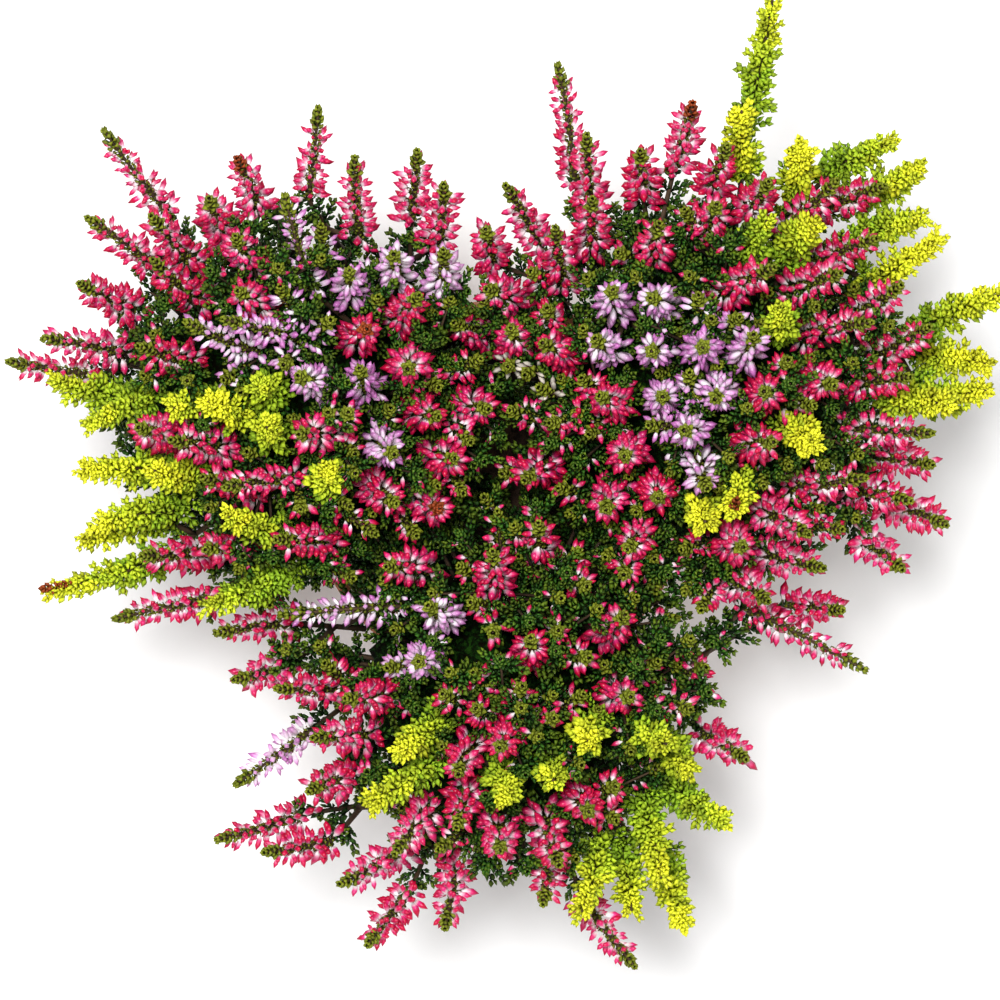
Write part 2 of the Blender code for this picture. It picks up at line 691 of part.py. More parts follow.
def make_wood(crown, collection):
    """The trunk in the soil and the woody stems that rise from it into the heart."""
    x, y = STEM_FEET[crown]
    foot = Vector((x, y, SOIL_TOP - STEM_HOLE_DEPTH + FIT_GAP))
    middle = Vector(heart_middle(crown))
    collar = Vector((x, y, SOIL_TOP + COLLAR_HEIGHT))
    root = Vector((x, y, SOIL_TOP + 0.4 * COLLAR_HEIGHT))
    parts = [rod(foot, collar, TRUNK_RADIUS, 0.8 * TRUNK_RADIUS, f"trunk_{crown}", collection, sides=8)]
    parts.append(rod(root, middle, 2.2 * WOOD_RADIUS, WOOD_RADIUS, f"leader_{crown}", collection))
    for number in range(WOOD_STEMS):
        turn = 2 * math.pi * number / WOOD_STEMS + 0.5
        out = Vector((math.cos(turn), math.sin(turn), -0.25)).normalized()
        goal = middle + 0.86 * out * Vector((HEART_RADIUS, HEART_RADIUS, HEART_HALF_HEIGHT))
        parts.append(rod(root, goal, 1.5 * WOOD_RADIUS, WOOD_RADIUS, f"stem_{crown}_{number}", collection))
    return parts


def shoot_points(start, end, samples=6):
    return [start.lerp(end, 0.15 + 0.85 * step / (samples - 1)) for step in range(samples)]


def is_clear(points, rooms, crown, obstacles, trees):
    """Whether points of a bush, each with its room, stay off the sprays, other bushes and the pot."""
    for point, room in zip(points, rooms):
        for owner, places, radii in obstacles:
            away = np.linalg.norm(places - np.array(point), axis=1)
            if owner != crown and (away < radii + room).any():
                return False
        for owner, tree in trees.items():
            if owner != crown and tree.find_nearest(point)[3] < room:
                return False
        if point.z < SOIL_TOP + SOIL_CLEARANCE:
            return False
        over_rim = math.hypot(point.x, point.y) > POT_RIM_RADIUS - RIM_CLEARANCE_IN
        if over_rim and point.z < POT_HEIGHT + RIM_CLEARANCE_UP:
            return False
    return True


def make_shoots(crown, obstacles, trees, collection):
    """Leafy shoots spread evenly over the heart, each as long as the room beside the sprays allows."""
    middle = Vector(heart_middle(crown))
    golden_turn = math.pi * (3 - math.sqrt(5))
    shoots, places = [], []
    for number in range(SHOOT_PLACES):
        height = 1 - 1.75 * (number + 0.5) / SHOOT_PLACES
        flat = math.sqrt(1 - height**2)
        turn = golden_turn * number
        out = Vector((flat * math.cos(turn), flat * math.sin(turn), height))
        hit, normal = trees[crown].ray_cast(middle + out * 0.12, -out)[:2]
        way = (out + normal + Vector((0, 0, 0.35))).normalized()
        for share in (1.0, 0.8, 0.62):
            length = share * SHOOT_LENGTH * (1.0 + 0.15 * math.sin(5.1 * number))
            start, end = hit - way * SHOOT_SINK, hit + way * length
            points = shoot_points(hit, end)
            if is_clear(points, [SHOOT_RADIUS + SHOOT_GAP] * len(points), crown, obstacles, trees):
                name = f"shoot_{crown}_{number}"
                axis = straight_axis(start, end)
                shoots.append(leafy_rod(axis, SHOOT_RINGS, number * 0.8, name, collection, None))
                places += points
                break
    return shoots, places


def straight_axis(start, end):
    return lambda place: start.lerp(end, place)


def spray_obstacles(sprays):
    """Points along all sprays, closely set, with the room that each needs."""
    points, radii = [], []
    for spray in sprays:
        start, foot, tip = spray["start"], spray["foot"], spray["tip"]
        reach = SPRAY[spray["kind"]]["reach"]
        for share in np.linspace(0.0, 1.0, 8):
            points.append(start + (foot - start) * share)
            radii.append(STALK_RADIUS)
        bow = np.array((0.0, 0.0, SPRAY_BOW * np.linalg.norm(tip - foot)))
        for share in np.linspace(0.0, 1.0, 14):
            points.append(foot + (tip - foot) * share + bow * 4 * share * (1 - share))
            radii.append(reach * (0.6 + 0.4 * math.sin(math.pi * min(1.0, share + 0.2))))
    return np.array(points), np.array(radii)


def make_bushes(hearts, trees, obstacles, scraps):
    for crown, heart in hearts.items():
        shoots, places = make_shoots(crown, obstacles, trees, scraps)
        unite(heart, make_wood(crown, scraps) + shoots, new_collection(f"joined_bush_{crown}"))
        points = np.array([tuple(place) for place in places])
        obstacles.append((crown, points, np.full(len(points), SHOOT_RADIUS)))


def tree_of(thing):
    bm = bmesh.new()
    bm.from_mesh(thing.data)
    tree = BVHTree.FromBMesh(bm)
    bm.free()
    return tree


def main():
    clear_scene()
    parts = new_collection("potted_heather")
    cutters = new_collection("cutters")
    scraps = new_collection("growing")
    materials = {name: new_material(name) for name in COLOURS}
    make_pot(parts, cutters, materials["clay"])
    make_soil(parts, cutters, materials["soil"])
    sprays = spread_sprays(read_plan())
    obstacles = [(None, *spray_obstacles(sprays))]
    hearts, trees = {}, {}
    for crown in CROWNS:
        hearts[crown] = make_heart(crown, obstacles, trees, parts, materials["green"])
        trees[crown] = tree_of(hearts[crown])
    make_bunches(sprays, trees, parts, scraps, materials)
    make_bushes(hearts, trees, obstacles, scraps)


main()
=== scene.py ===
"""Potted heather: the bud spikes, golden plumes, leafy bushes, clay pot and soil, in a plain studio.

Metres, +Z up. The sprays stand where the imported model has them: the plan of the crown and the rule
that spreads it are the same as there.
"""

import math

import bmesh
import bpy
import numpy as np
from bpy.props import FloatProperty, FloatVectorProperty, IntProperty, PointerProperty
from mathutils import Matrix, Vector, noise


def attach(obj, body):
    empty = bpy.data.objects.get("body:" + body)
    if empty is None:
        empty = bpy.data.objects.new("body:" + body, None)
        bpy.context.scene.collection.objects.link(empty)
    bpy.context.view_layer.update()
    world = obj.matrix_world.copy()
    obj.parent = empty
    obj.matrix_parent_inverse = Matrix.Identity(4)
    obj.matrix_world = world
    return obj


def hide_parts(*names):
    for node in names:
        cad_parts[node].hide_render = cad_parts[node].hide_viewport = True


bl_info = {
    "name": "Potted Heather",
    "version": (1, 0, 0),
    "blender": (4, 5, 0),
    "location": "View3D > Sidebar > Heather",
    "description": "Grows three heather bushes in a clay pot, with their buds, plumes and leaves",
    "category": "Add Mesh",
}

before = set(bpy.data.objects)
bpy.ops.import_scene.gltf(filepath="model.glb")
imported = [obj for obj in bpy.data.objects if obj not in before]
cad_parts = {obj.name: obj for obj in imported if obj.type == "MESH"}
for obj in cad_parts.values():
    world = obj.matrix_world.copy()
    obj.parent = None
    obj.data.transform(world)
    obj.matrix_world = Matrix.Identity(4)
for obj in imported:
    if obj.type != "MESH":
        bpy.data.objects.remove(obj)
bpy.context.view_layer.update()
BODY = "root"

# The pot and the soil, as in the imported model
POT_HEIGHT = 0.110
POT_BASE_RADIUS = 0.043
POT_RIM_RADIUS = 0.060
POT_WALL = 0.005
POT_FLOOR = 0.006
RIM_BAND_HEIGHT = 0.018
RIM_BAND_STEP = 0.003
RIM_ROUNDING = 0.0018
DRAIN_RADIUS = 0.005
DRAIN_CIRCLE = 0.024
DRAIN_COUNT = 4
SOIL_TOP = 0.097
FIT_GAP = 0.0004

# The soil's crumbly top
SOIL_DIP = 0.002
SOIL_CLEARANCE = 0.0008
SOIL_RINGS = 30
SOIL_LUMP = 0.0016
SOIL_LUMP_SCALE = 55.0
SOIL_CRUMBLE = 0.0011
CRUMB_SIZES = (0.0008, 0.0030)

# Seeds of the random places
GAP_SEED, SOIL_SEED, BUSH_SEED = 5, 11, 1000

# The plan's scale: metres a pixel of the photograph, and the pixel above the pot's axis
PIXEL = 0.0003
AXIS_PIXEL = (500, 490)
MIDDLE_PIXEL = (500, 500)

# The bushes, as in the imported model
CROWNS = {"left": (285, 390), "right": (715, 390), "front": (510, 690)}
STEM_FEET = {"left": (-0.026, 0.013), "right": (0.026, 0.013), "front": (0.001, -0.029)}
COLLAR_HEIGHT = 0.010
HEART_RADIUS = 0.049
HEART_HALF_HEIGHT = 0.044
HEART_MIDDLE = 0.158
HEART_LUMP = 0.0035
LEAN_POWER = 1.6
CROWN_TOP = 0.262
DOME_FALL = 7.6
DOME_SPREAD = 0.095

# The bushes' knobbly hearts, wood and twigs. Their leaves are dense up to the dense radius
HEART_SINK = 0.008
HEART_KNOBS = 0.0055
HEART_DETAIL = 5
TRUNK_DEPTH = 0.012
TRUNK_RADII = (0.0056, 0.0060, 0.0062, 0.0056, 0.0042)
WOODY_STEMS = 7
WOODY_STEM_RADII = (0.0030, 0.0016)
TWIG_RADII = (0.0009, 0.0004)
TWIG_HEIGHTS = (0.74, -0.80)
TWIG_REACH = (0.045, 0.095)
TWIG_SINK = 0.006
TWIG_COVER = 0.016
TWIG_SPRIG_STEP = 0.0045
DENSE_RADIUS = 0.054

# The sprays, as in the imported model
SPRAY_LENGTH = {"pink": 0.041, "lilac": 0.039, "golden": 0.036}
SPRAY_REACH = {"pink": 0.0070, "lilac": 0.0068, "golden": 0.0064}
STALK_RADIUS = 0.0014
STALK_LEAD = 0.7
FORK_AT = 0.40
FORK_STEP = 0.09
SPRAY_BOW = 0.05
SPRAY_GAP = 0.0010
STALK_SAMPLES = (0.14, 0.32, 0.50, 0.68, 0.86)
BLOOM_SAMPLES = (0.04, 0.18, 0.32, 0.46, 0.60, 0.74, 0.88)
BLOOM_SHAPE = (0.70, 0.95, 1.00, 1.00, 0.97, 0.88, 0.72)
LENGTH_CHANGE = 0.08
LEAST_SLANT = 1.08
HEIGHT_CHANGE = 0.004

# How the sprays are pushed apart and out of the hearts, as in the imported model
SPREAD_ROUNDS = 140
PUSH_WAYS = (0.7, 0.7, 1.0)
PUSH_SHARE = 0.45
PUSH_LIMIT = 0.002
RETURN_SHARE = 0.03
HEART_ROOM = 0.6
STALK_HOLD = 0.92
DEEPEST = 0.3

# The finer growth on the sprays, and the bend of each spray's tip
SPRAY_SWAY = 0.0022
STALK_RADII = (0.0010, 0.0004)
BRANCH_RADII = (0.0007, 0.0003)
SHOOT_RADII = (0.0006, 0.0003)
SKIN = 0.0004
STALK_SPRIG_STEP = 0.0048
BRANCH_SPRIG_STEP = 0.0055
SHOOT_SPRIG_STEP = 0.0042
PAIR_TURN = 2.4
BRANCH_BLOOM = (0.014, 0.021)
BRANCH_PLUME = (0.014, 0.020)
DRY_BLOOM = 0.012
SHOOT_LEAVES = 0.021
SHOOT_TUFT = 0.004
BLOOM_FULLNESS = 0.86
BRANCH_FULLNESS = (0.35, 0.85)
DRY_FULLNESS = 0.6
LILAC_SIZE = 0.94
UPRIGHT_SWELL = 0.12
RUSTY_SHARE = 0.35

# Leans from the stem and sizes of buds, leaves and side shoots: low on it, at its tip, spread
BUD_LEAN, BUD_SIZE = (1.28, 0.90, 0.26), (1.16, 0.80, 0.12)
TUFT_LEAN, TUFT_SIZE = (1.05, 0.35, 0.08), (1.35, 1.05, 0.06)
BRANCHLET_LEAN, BRANCHLET_SIZE = (0.95, 0.50, 0.12), (1.12, 0.77, 0.10)

# The plan. A row is tip x, tip y, then the x and y where the flowers or coloured leaves begin
PLAN = {
    ("pink", "left"): (
        ((3, 360, 100, 368), (48, 333, 112, 352), (145, 356, 195, 364), (72, 283, 128, 312)),
        ((122, 614, 208, 600), (150, 562, 222, 548), (212, 536, 250, 538), (262, 530, 304, 536)),
        ((102, 138, 160, 205), (153, 210, 205, 262), (95, 217, 150, 264), (152, 268, 198, 298)),
        ((212, 192, 232, 232), (236, 170, 240, 222), (229, 240, 248, 266), (243, 296, 262, 312)),
        ((324, 112, 304, 195), (348, 163, 358, 235)),
        ((421, 149, 421, 228), (455, 190, 434, 230)),
        ((404, 303, 388, 320), (376, 324, 362, 338)),
        ((178, 436, 226, 440), (143, 420, 180, 426), (228, 464, 286, 470), (218, 488, 286, 488)),
        ((389, 496, 372, 480), (308, 430, 326, 432), (440, 515, 420, 498)),
        ((430, 412, 412, 406), (403, 372, 386, 374), (453, 467, 434, 456), (482, 404, 462, 406)),
    ),
    ("pink", "right"): (
        ((567, 62, 577, 175), (584, 142, 592, 198), (588, 194, 592, 246)),
        ((513, 186, 543, 248), (552, 234, 566, 280), (473, 217, 492, 262)),
        ((497, 300, 512, 296), (449, 326, 490, 330), (514, 316, 520, 345), (545, 346, 560, 352)),
        ((652, 228, 656, 262), (646, 141, 652, 190), (697, 111, 672, 165)),
        ((722, 153, 718, 200), (731, 192, 722, 228), (768, 198, 755, 218), (766, 262, 730, 276)),
        ((890, 175, 802, 204), (832, 186, 782, 212), (858, 236, 800, 260), (848, 272, 795, 284)),
        ((912, 335, 862, 350), (866, 300, 800, 314), (928, 372, 862, 376), (893, 305, 866, 334)),
        ((828, 380, 812, 378), (751, 384, 742, 384), (770, 448, 756, 440)),
        (
            (924, 490, 866, 484),
            (925, 458, 868, 452),
            (939, 437, 868, 430),
            (932, 512, 872, 506),
            (912, 566, 874, 524),
        ),
        (
            (852, 484, 778, 494),
            (803, 527, 752, 512),
            (742, 540, 732, 524),
            (812, 570, 762, 556),
            (765, 577, 730, 560),
        ),
        ((604, 404, 622, 404), (616, 455, 632, 448), (530, 474, 550, 462)),
        ((670, 512, 664, 498), (600, 508, 616, 494), (640, 532, 646, 516)),
    ),
    ("pink", "front"): (
        ((530, 645, 534, 656), (487, 548, 498, 592), (545, 522, 540, 560), (622, 622, 606, 634)),
        ((215, 635, 292, 640), (248, 679, 282, 655), (267, 692, 345, 690), (385, 560, 430, 572)),
        ((325, 736, 372, 734), (340, 706, 385, 704), (310, 782, 352, 778)),
        ((223, 846, 300, 822), (258, 858, 330, 848), (395, 830, 430, 800)),
        ((347, 893, 402, 866), (360, 946, 406, 894), (448, 920, 456, 872)),
        ((500, 760, 495, 745), (452, 775, 470, 755), (470, 812, 480, 785), (505, 850, 502, 815)),
        ((540, 862, 534, 830), (563, 890, 558, 845), (583, 811, 575, 790), (629, 961, 585, 905)),
        ((753, 757, 706, 738), (632, 710, 622, 704), (868, 655, 752, 600), (842, 622, 790, 612)),
    ),
    ("lilac", "left"): (
        ((283, 206, 318, 292), (345, 266, 345, 298)),
        ((232, 316, 300, 334), (186, 328, 262, 350)),
        ((350, 358, 368, 384), (298, 386, 324, 390), (388, 462, 380, 446)),
        ((395, 250, 398, 282), (448, 256, 438, 284)),
    ),
    ("lilac", "right"): (
        ((608, 296, 622, 310), (650, 294, 658, 312), (612, 346, 630, 350), (640, 368, 654, 364)),
        ((712, 352, 714, 368), (753, 350, 748, 362)),
        ((672, 404, 684, 402), (712, 404, 712, 396), (684, 438, 690, 426), (698, 476, 700, 462)),
    ),
    ("lilac", "front"): (
        ((290, 612, 405, 606), (426, 618, 446, 624), (416, 650, 432, 658)),
        ((244, 783, 306, 736),),
    ),
    ("golden", "left"): (
        ((52, 388, 140, 400), (105, 428, 165, 416)),
        ((95, 478, 165, 478), (150, 460, 192, 470), (93, 508, 165, 498)),
        ((57, 588, 150, 548), (80, 548, 165, 522)),
        ((175, 426, 202, 432), (215, 408, 228, 424), (262, 432, 272, 440), (280, 400, 282, 414)),
        ((232, 510, 262, 514), (320, 466, 326, 480), (215, 598, 282, 578)),
    ),
    ("golden", "right"): (
        ((779, 0, 757, 95), (735, 108, 745, 165)),
        ((810, 152, 803, 198), (917, 176, 868, 188), (886, 150, 838, 182)),
        ((928, 222, 862, 228), (936, 237, 876, 272)),
        ((1000, 291, 940, 328), (995, 357, 938, 346), (977, 396, 915, 396), (935, 408, 890, 414)),
        ((782, 320, 778, 334), (775, 228, 765, 250), (808, 222, 795, 248)),
        ((728, 516, 730, 484), (702, 494, 722, 486), (804, 440, 784, 426)),
    ),
    ("golden", "front"): (
        ((378, 813, 435, 760), (396, 762, 450, 750), (502, 782, 498, 758)),
        ((592, 744, 588, 728), (660, 742, 648, 732), (680, 757, 660, 742), (560, 790, 562, 770)),
        ((715, 822, 668, 796), (668, 872, 652, 805)),
        ((640, 922, 633, 862), (664, 920, 658, 870), (581, 909, 594, 862)),
    ),
}

# The outline of the dense growth in the photograph's pixels, and the side branches that fill its gaps
DENSE_OUTLINE = (
    (135, 300), (205, 225), (330, 215), (410, 250), (452, 285), (500, 270), (560, 240), (650, 200),
    (760, 205), (850, 250), (895, 330), (890, 480), (850, 540), (770, 600), (720, 640), (700, 760),
    (640, 850), (560, 875), (470, 880), (400, 850), (330, 790), (290, 700), (250, 640), (200, 590),
    (140, 500), (125, 400),
)
GAP_TRIES = 5000
FLOWERING_GAP = {"room": 0.0080, "step": 0.0102, "depth": 0.012}
LEAFY_GAP = {"room": 0.0058, "step": 0.0088, "depth": 0.020}
HOST_RELUCTANCE = {"pink": 1.0, "lilac": 1.3, "golden": 2.2}

# Side branches with withered, straw-coloured buds: the pixels of the photograph where they show
DRY_TIPS = ((508, 366), (526, 374), (540, 388), (436, 486))

# Leafy side branches over the pot's rim and bare stems, and a place that stays open, in pixels
RIM_SHOOTS = (
    (434, 312), (450, 300), (466, 312), (484, 300), (500, 318), (656, 590), (668, 574),
    (548, 586), (560, 598), (538, 602), (690, 640), (676, 620),
)
LEFT_OPEN = ((346, 634), (360, 632), (374, 640))

# Tips that have turned red-brown: the pixels of the photograph where they show
RUSTY_TIPS = (
    (697, 111), (440, 515), (376, 324), (236, 170), (390, 395), (57, 588), (640, 922), (728, 516),
)
NEAR_PIXELS = 12

# Parts of a piece's finish, in the order of its materials
BUD, TUFT, LEAF, STEM, WITHERED, DRY = range(6)


# Settings


def a_length(name, description, metres):
    return FloatProperty(name=name, description=description, default=metres, unit="LENGTH")


def a_power(name, description, watts):
    return FloatProperty(name=name, description=description, default=watts, unit="POWER")


def a_count(name, description, number):
    return IntProperty(name=name, description=description, default=number)


def a_colour(name, description, *parts):
    return FloatVectorProperty(name=name, description=description, default=parts, subtype="COLOR")


class HeatherSpikeSettings(bpy.types.PropertyGroup):
    bud_length: a_length("Bud length", "A bud with its stalk", 0.0058)
    bud_width: a_length("Bud width", "A bud at its widest", 0.0018)
    whorl_step: a_length("Whorl step", "From one ring of buds to the next", 0.0024)
    whorl_buds: a_count("Buds in a ring", "Buds in each ring round the stem", 5)
    crimson: a_colour("Crimson", "Tips of the deepest pink buds", 0.52, 0.006, 0.058)
    pink: a_colour("Pink", "Tips of the brightest pink buds", 0.78, 0.050, 0.26)
    blush: a_colour("Blush", "Where the pink buds open from", 1.0, 0.93, 0.95)
    lilac: a_colour("Lilac", "Tips of the lilac buds", 0.50, 0.17, 0.44)
    mauve: a_colour("Mauve", "Tips of the palest lilac buds", 0.78, 0.48, 0.74)
    milk: a_colour("Milk", "Where the lilac buds open from", 1.0, 0.96, 1.0)
    stalk: a_colour("Stalk", "The short stalks of the buds", 0.16, 0.10, 0.03)


class HeatherLeafSettings(bpy.types.PropertyGroup):
    leaf_length: a_length("Leaf length", "One scale leaf", 0.0022)
    leaf_width: a_length("Leaf width", "One scale leaf", 0.0016)
    sprig_length: a_length("Sprig length", "A leafy side shoot", 0.0080)
    branchlet_length: a_length("Branchlet length", "A side shoot of a golden plume", 0.0055)
    branchlet_step: a_length("Branchlet step", "Between rings of a plume's side shoots", 0.0025)
    twigs: a_count("Twigs", "Leafy twigs that each bush's heart bears", 84)
    # Deep green is green darkened as painted shade: it colours the foot of each shoot and the bush's
    # heart
    deep: a_colour("Deep green", "Leaves in the shade of the bush", 0.005, 0.018, 0.003)
    green: a_colour("Green", "Leaves in the light", 0.025, 0.085, 0.009)
    olive: a_colour("Olive", "The youngest leaves at the tips", 0.140, 0.170, 0.014)
    yellow: a_colour("Yellow", "Tips of the golden plumes", 0.68, 0.68, 0.040)
    lime: a_colour("Lime", "Middle of the golden plumes", 0.25, 0.39, 0.028)
    rust: a_colour("Rust", "Leaves that have turned red-brown", 0.20, 0.045, 0.012)
    straw: a_colour("Straw", "Withered buds", 0.48, 0.44, 0.38)
    bark: a_colour("Bark", "Stems and trunks", 0.052, 0.032, 0.018)


class HeatherPotSettings(bpy.types.PropertyGroup):
    sides: a_count("Sides", "Segments round the pot and the soil", 96)
    clay: a_colour("Clay", "Fired clay", 0.50, 0.19, 0.095)
    lime_bloom: a_colour("Lime bloom", "Pale salts on the clay", 0.70, 0.50, 0.38)
    soil: a_colour("Soil", "Moist potting soil", 0.030, 0.018, 0.012)
    crumbs: a_count("Crumbs", "Loose crumbs on the soil", 300)


class HeatherStageSettings(bpy.types.PropertyGroup):
    floor_size: a_length("Floor", "Side of the square floor", 8.0)
    camera_distance: a_length("Camera distance", "Above the crown", 2.5)
    crown_height: a_length("Crown height", "Where a pixel has the plan's scale", 0.235)
    key_power: a_power("Key light", "Power of the large soft light", 82.0)
    fill_power: a_power("Fill light", "Power of the light on the other side", 6.0)
    sky: FloatProperty(name="Room light", description="Even light from all sides", default=0.46)


# Numbers and directions


def unit(ways):
    return ways / np.maximum(np.linalg.norm(ways, axis=-1, keepdims=True), 1e-12)


def over_plan(x, y):
    """The place above the pot of a pixel of the photograph."""
    return (x - AXIS_PIXEL[0]) * PIXEL, (AXIS_PIXEL[1] - y) * PIXEL


def places_of(pixels):
    return [np.array(over_plan(*pixel)) for pixel in pixels]


def lumps(points, scale, seed=0.0):
    """Smooth noise at each of many points, about -1 to 1."""
    shift = Vector((seed, 0.0, seed))
    return np.array([noise.noise(Vector(point) * scale + shift) for point in points])


def ring_turns(rings, each, turn):
    """The turns about a stem of things in rings, each ring turned on from the one before."""
    within = np.tile(np.arange(each) * 2 * math.pi / each, rings)
    return np.repeat(np.arange(rings) * turn, each) + within


def graded(rng, share, grade):
    """Random values that change along a stem, from the one low on it to the one at its tip."""
    low, tip, spread = grade
    return low + (tip - low) * share + rng.normal(0.0, spread, len(share))


def round_about(rng, middle, spread, count):
    """Random shares about a middle one, kept between 0 and 1."""
    return np.clip(rng.normal(middle, spread, count), 0.0, 1.0)


# Where the sprays grow


def dome_height(x, y, crown):
    """How high the crown of a bush stands above a place: a dome that flattens out towards its edge."""
    middle_x, middle_y = over_plan(*CROWNS[crown])
    out = math.hypot(x - middle_x, y - middle_y)
    return CROWN_TOP - DOME_FALL * out**2 / math.sqrt(1 + (out / DOME_SPREAD) ** 4)


def read_plan():
    """Every spray of the plan, as a list of dictionaries, with its bunch's name."""
    sprays = []
    for (kind, crown), bunches in PLAN.items():
        for number, rows in enumerate(bunches, 1):
            for row in rows:
                bunch = f"{kind}_{crown}_{number:02d}"
                sprays.append(spray_from(row, kind, crown, bunch, len(sprays)))
    return sprays


def spray_from(row, kind, crown, bunch, index):
    """A spray with its tip on the dome and its foot so far below that it has its real length."""
    tip_x, tip_y = over_plan(*row[:2])
    foot_x, foot_y = over_plan(*row[2:])
    across = math.hypot(tip_x - foot_x, tip_y - foot_y)
    length = SPRAY_LENGTH[kind] * (1.0 + LENGTH_CHANGE * math.sin(2.3 * index))
    length = max(length, LEAST_SLANT * across)
    tip_z = dome_height(tip_x, tip_y, crown) + HEIGHT_CHANGE * math.sin(1.7 * index)
    foot_z = tip_z - math.sqrt(length**2 - across**2)
    return {
        "kind": kind,
        "crown": crown,
        "bunch": bunch,
        "index": index,
        "pixel": row[:2],
        "tip": np.array((tip_x, tip_y, tip_z)),
        "foot": np.array((foot_x, foot_y, foot_z)),
    }


def heart_middle(crown):
    x, y = over_plan(*CROWNS[crown])
    return np.array((x, y, HEART_MIDDLE))


def heart_surface(crown, towards):
    """The point of the heart's plain surface below a point outside it."""
    middle = heart_middle(crown)
    way = towards - middle
    size = np.sqrt((way[0] ** 2 + way[1] ** 2) / HEART_RADIUS**2 + way[2] ** 2 / HEART_HALF_HEIGHT**2)
    return middle + way / size


def spread_sprays(sprays):
    """Moves feet and tips until no two sprays touch, and sets where each one grows from."""
    feet = np.array([spray["foot"] for spray in sprays])
    tips = np.array([spray["tip"] for spray in sprays])
    wanted_feet, wanted_tips = feet.copy(), tips.copy()
    bunches = sorted({spray["bunch"] for spray in sprays})
    bunch_of = np.array([bunches.index(spray["bunch"]) for spray in sprays])
    reach = np.array([SPRAY_REACH[spray["kind"]] for spray in sprays])
    stalk_radii = np.full((len(sprays), len(STALK_SAMPLES)), STALK_RADIUS)
    radii = np.concatenate([stalk_radii, reach[:, None] * np.array(BLOOM_SHAPE)], axis=1).reshape(-1)
    starts = starts_of(sprays, bunches, bunch_of, feet, tips)
    each = len(STALK_SAMPLES) + len(BLOOM_SAMPLES)
    owner = np.repeat(np.arange(len(sprays)), each)
    tip_share = [0.0] * len(STALK_SAMPLES) + list(BLOOM_SAMPLES)
    foot_share = list(STALK_SAMPLES) + [1 - share for share in BLOOM_SAMPLES]
    tip_share, foot_share = (np.tile(share, len(sprays))[:, None] for share in (tip_share, foot_share))
    same_bunch = bunch_of[owner][:, None] == bunch_of[owner][None, :]
    same_spray = owner[:, None] == owner[None, :]
    apart = radii[:, None] + radii[None, :] + SPRAY_GAP
    stalk = np.tile([True] * len(STALK_SAMPLES) + [False] * len(BLOOM_SAMPLES), len(sprays))
    skip = same_spray | (same_bunch & stalk[:, None] & stalk[None, :])
    for step in range(SPREAD_ROUNDS):
        points = sample_points(starts, feet, tips)
        push = push_apart(points, apart, skip)
        push += push_from_hearts(points, radii, stalk)
        push *= np.array(PUSH_WAYS)
        ease = RETURN_SHARE * (1 - step / SPREAD_ROUNDS)
        for places, share, wanted in ((feet, foot_share, wanted_feet), (tips, tip_share, wanted_tips)):
            moved = np.zeros_like(places)
            np.add.at(moved, owner, push * share)
            places += np.clip(PUSH_SHARE * moved, -PUSH_LIMIT, PUSH_LIMIT) + ease * (wanted - places)
        starts = starts_of(sprays, bunches, bunch_of, feet, tips)
    for number, spray in enumerate(sprays):
        spray["start"], spray["foot"], spray["tip"] = starts[number], feet[number], tips[number]
    return sprays


def starts_of(sprays, bunches, bunch_of, feet, tips):
    """A bunch's first spray starts on its bush's heart, and the others fork from its stalk."""
    behind = feet - STALK_LEAD * (tips - feet)
    starts = np.zeros_like(feet)
    for bunch in range(len(bunches)):
        members = np.flatnonzero(bunch_of == bunch)
        lead = members[0]
        starts[lead] = heart_surface(sprays[lead]["crown"], behind[members].mean(axis=0))
        for member in members[1:]:
            fork = FORK_AT + FORK_STEP * ((member - lead) % 3 - 1)
            starts[member] = starts[lead] + fork * (feet[lead] - starts[lead])
    return starts


def sample_points(starts, feet, tips):
    stalk = np.array(STALK_SAMPLES)[None, :, None]
    bloom = np.array(BLOOM_SAMPLES)[None, :, None]
    on_stalk = starts[:, None] * (1 - stalk) + feet[:, None] * stalk
    on_bloom = feet[:, None] * (1 - bloom) + tips[:, None] * bloom
    length = np.linalg.norm(tips - feet, axis=1)
    on_bloom[:, :, 2] += SPRAY_BOW * length[:, None] * 4 * bloom[:, :, 0] * (1 - bloom[:, :, 0])
    return np.concatenate([on_stalk, on_bloom], axis=1).reshape(-1, 3)


def push_apart(points, apart, skip):
    lengths = (points**2).sum(axis=1)
    square = lengths[:, None] + lengths[None, :] - 2 * points @ points.T
    first, second = np.nonzero((square < apart**2) & ~skip)
    way = points[first] - points[second]
    distance = np.maximum(np.linalg.norm(way, axis=1), 1e-6)
    depth = (apart[first, second] - distance) / distance
    push = np.zeros_like(points)
    np.add.at(push, first, 0.5 * way * depth[:, None])
    return push


def push_from_hearts(points, radii, stalk):
    push = np.zeros_like(points)
    for crown in CROWNS:
        way = points - heart_middle(crown)
        room = np.where(stalk, 0.0, HEART_ROOM * radii)
        wide = HEART_RADIUS + HEART_LUMP + room
        high = HEART_HALF_HEIGHT + HEART_LUMP + room
        size = np.sqrt((way[:, 0] ** 2 + way[:, 1] ** 2) / wide**2 + way[:, 2] ** 2 / high**2)
        inside = (size < 1) & ~(stalk & (size > STALK_HOLD))
        push[inside] += way[inside] * (1 / np.maximum(size[inside], DEEPEST) - 1)[:, None]
    return push


def find_gaps(covered, gap):
    """Places of the crown, seen from above, that nothing covers."""
    outline = np.array(places_of(DENSE_OUTLINE))
    rng = np.random.default_rng(GAP_SEED)
    gaps = []
    for place in rng.uniform(outline.min(axis=0), outline.max(axis=0), (GAP_TRIES, 2)):
        if not is_within(place, outline) or np.linalg.norm(covered - place, axis=1).min() < gap["room"]:
            continue
        if all(math.dist(place, other) > gap["step"] for other in gaps):
            gaps.append(place)
    return gaps


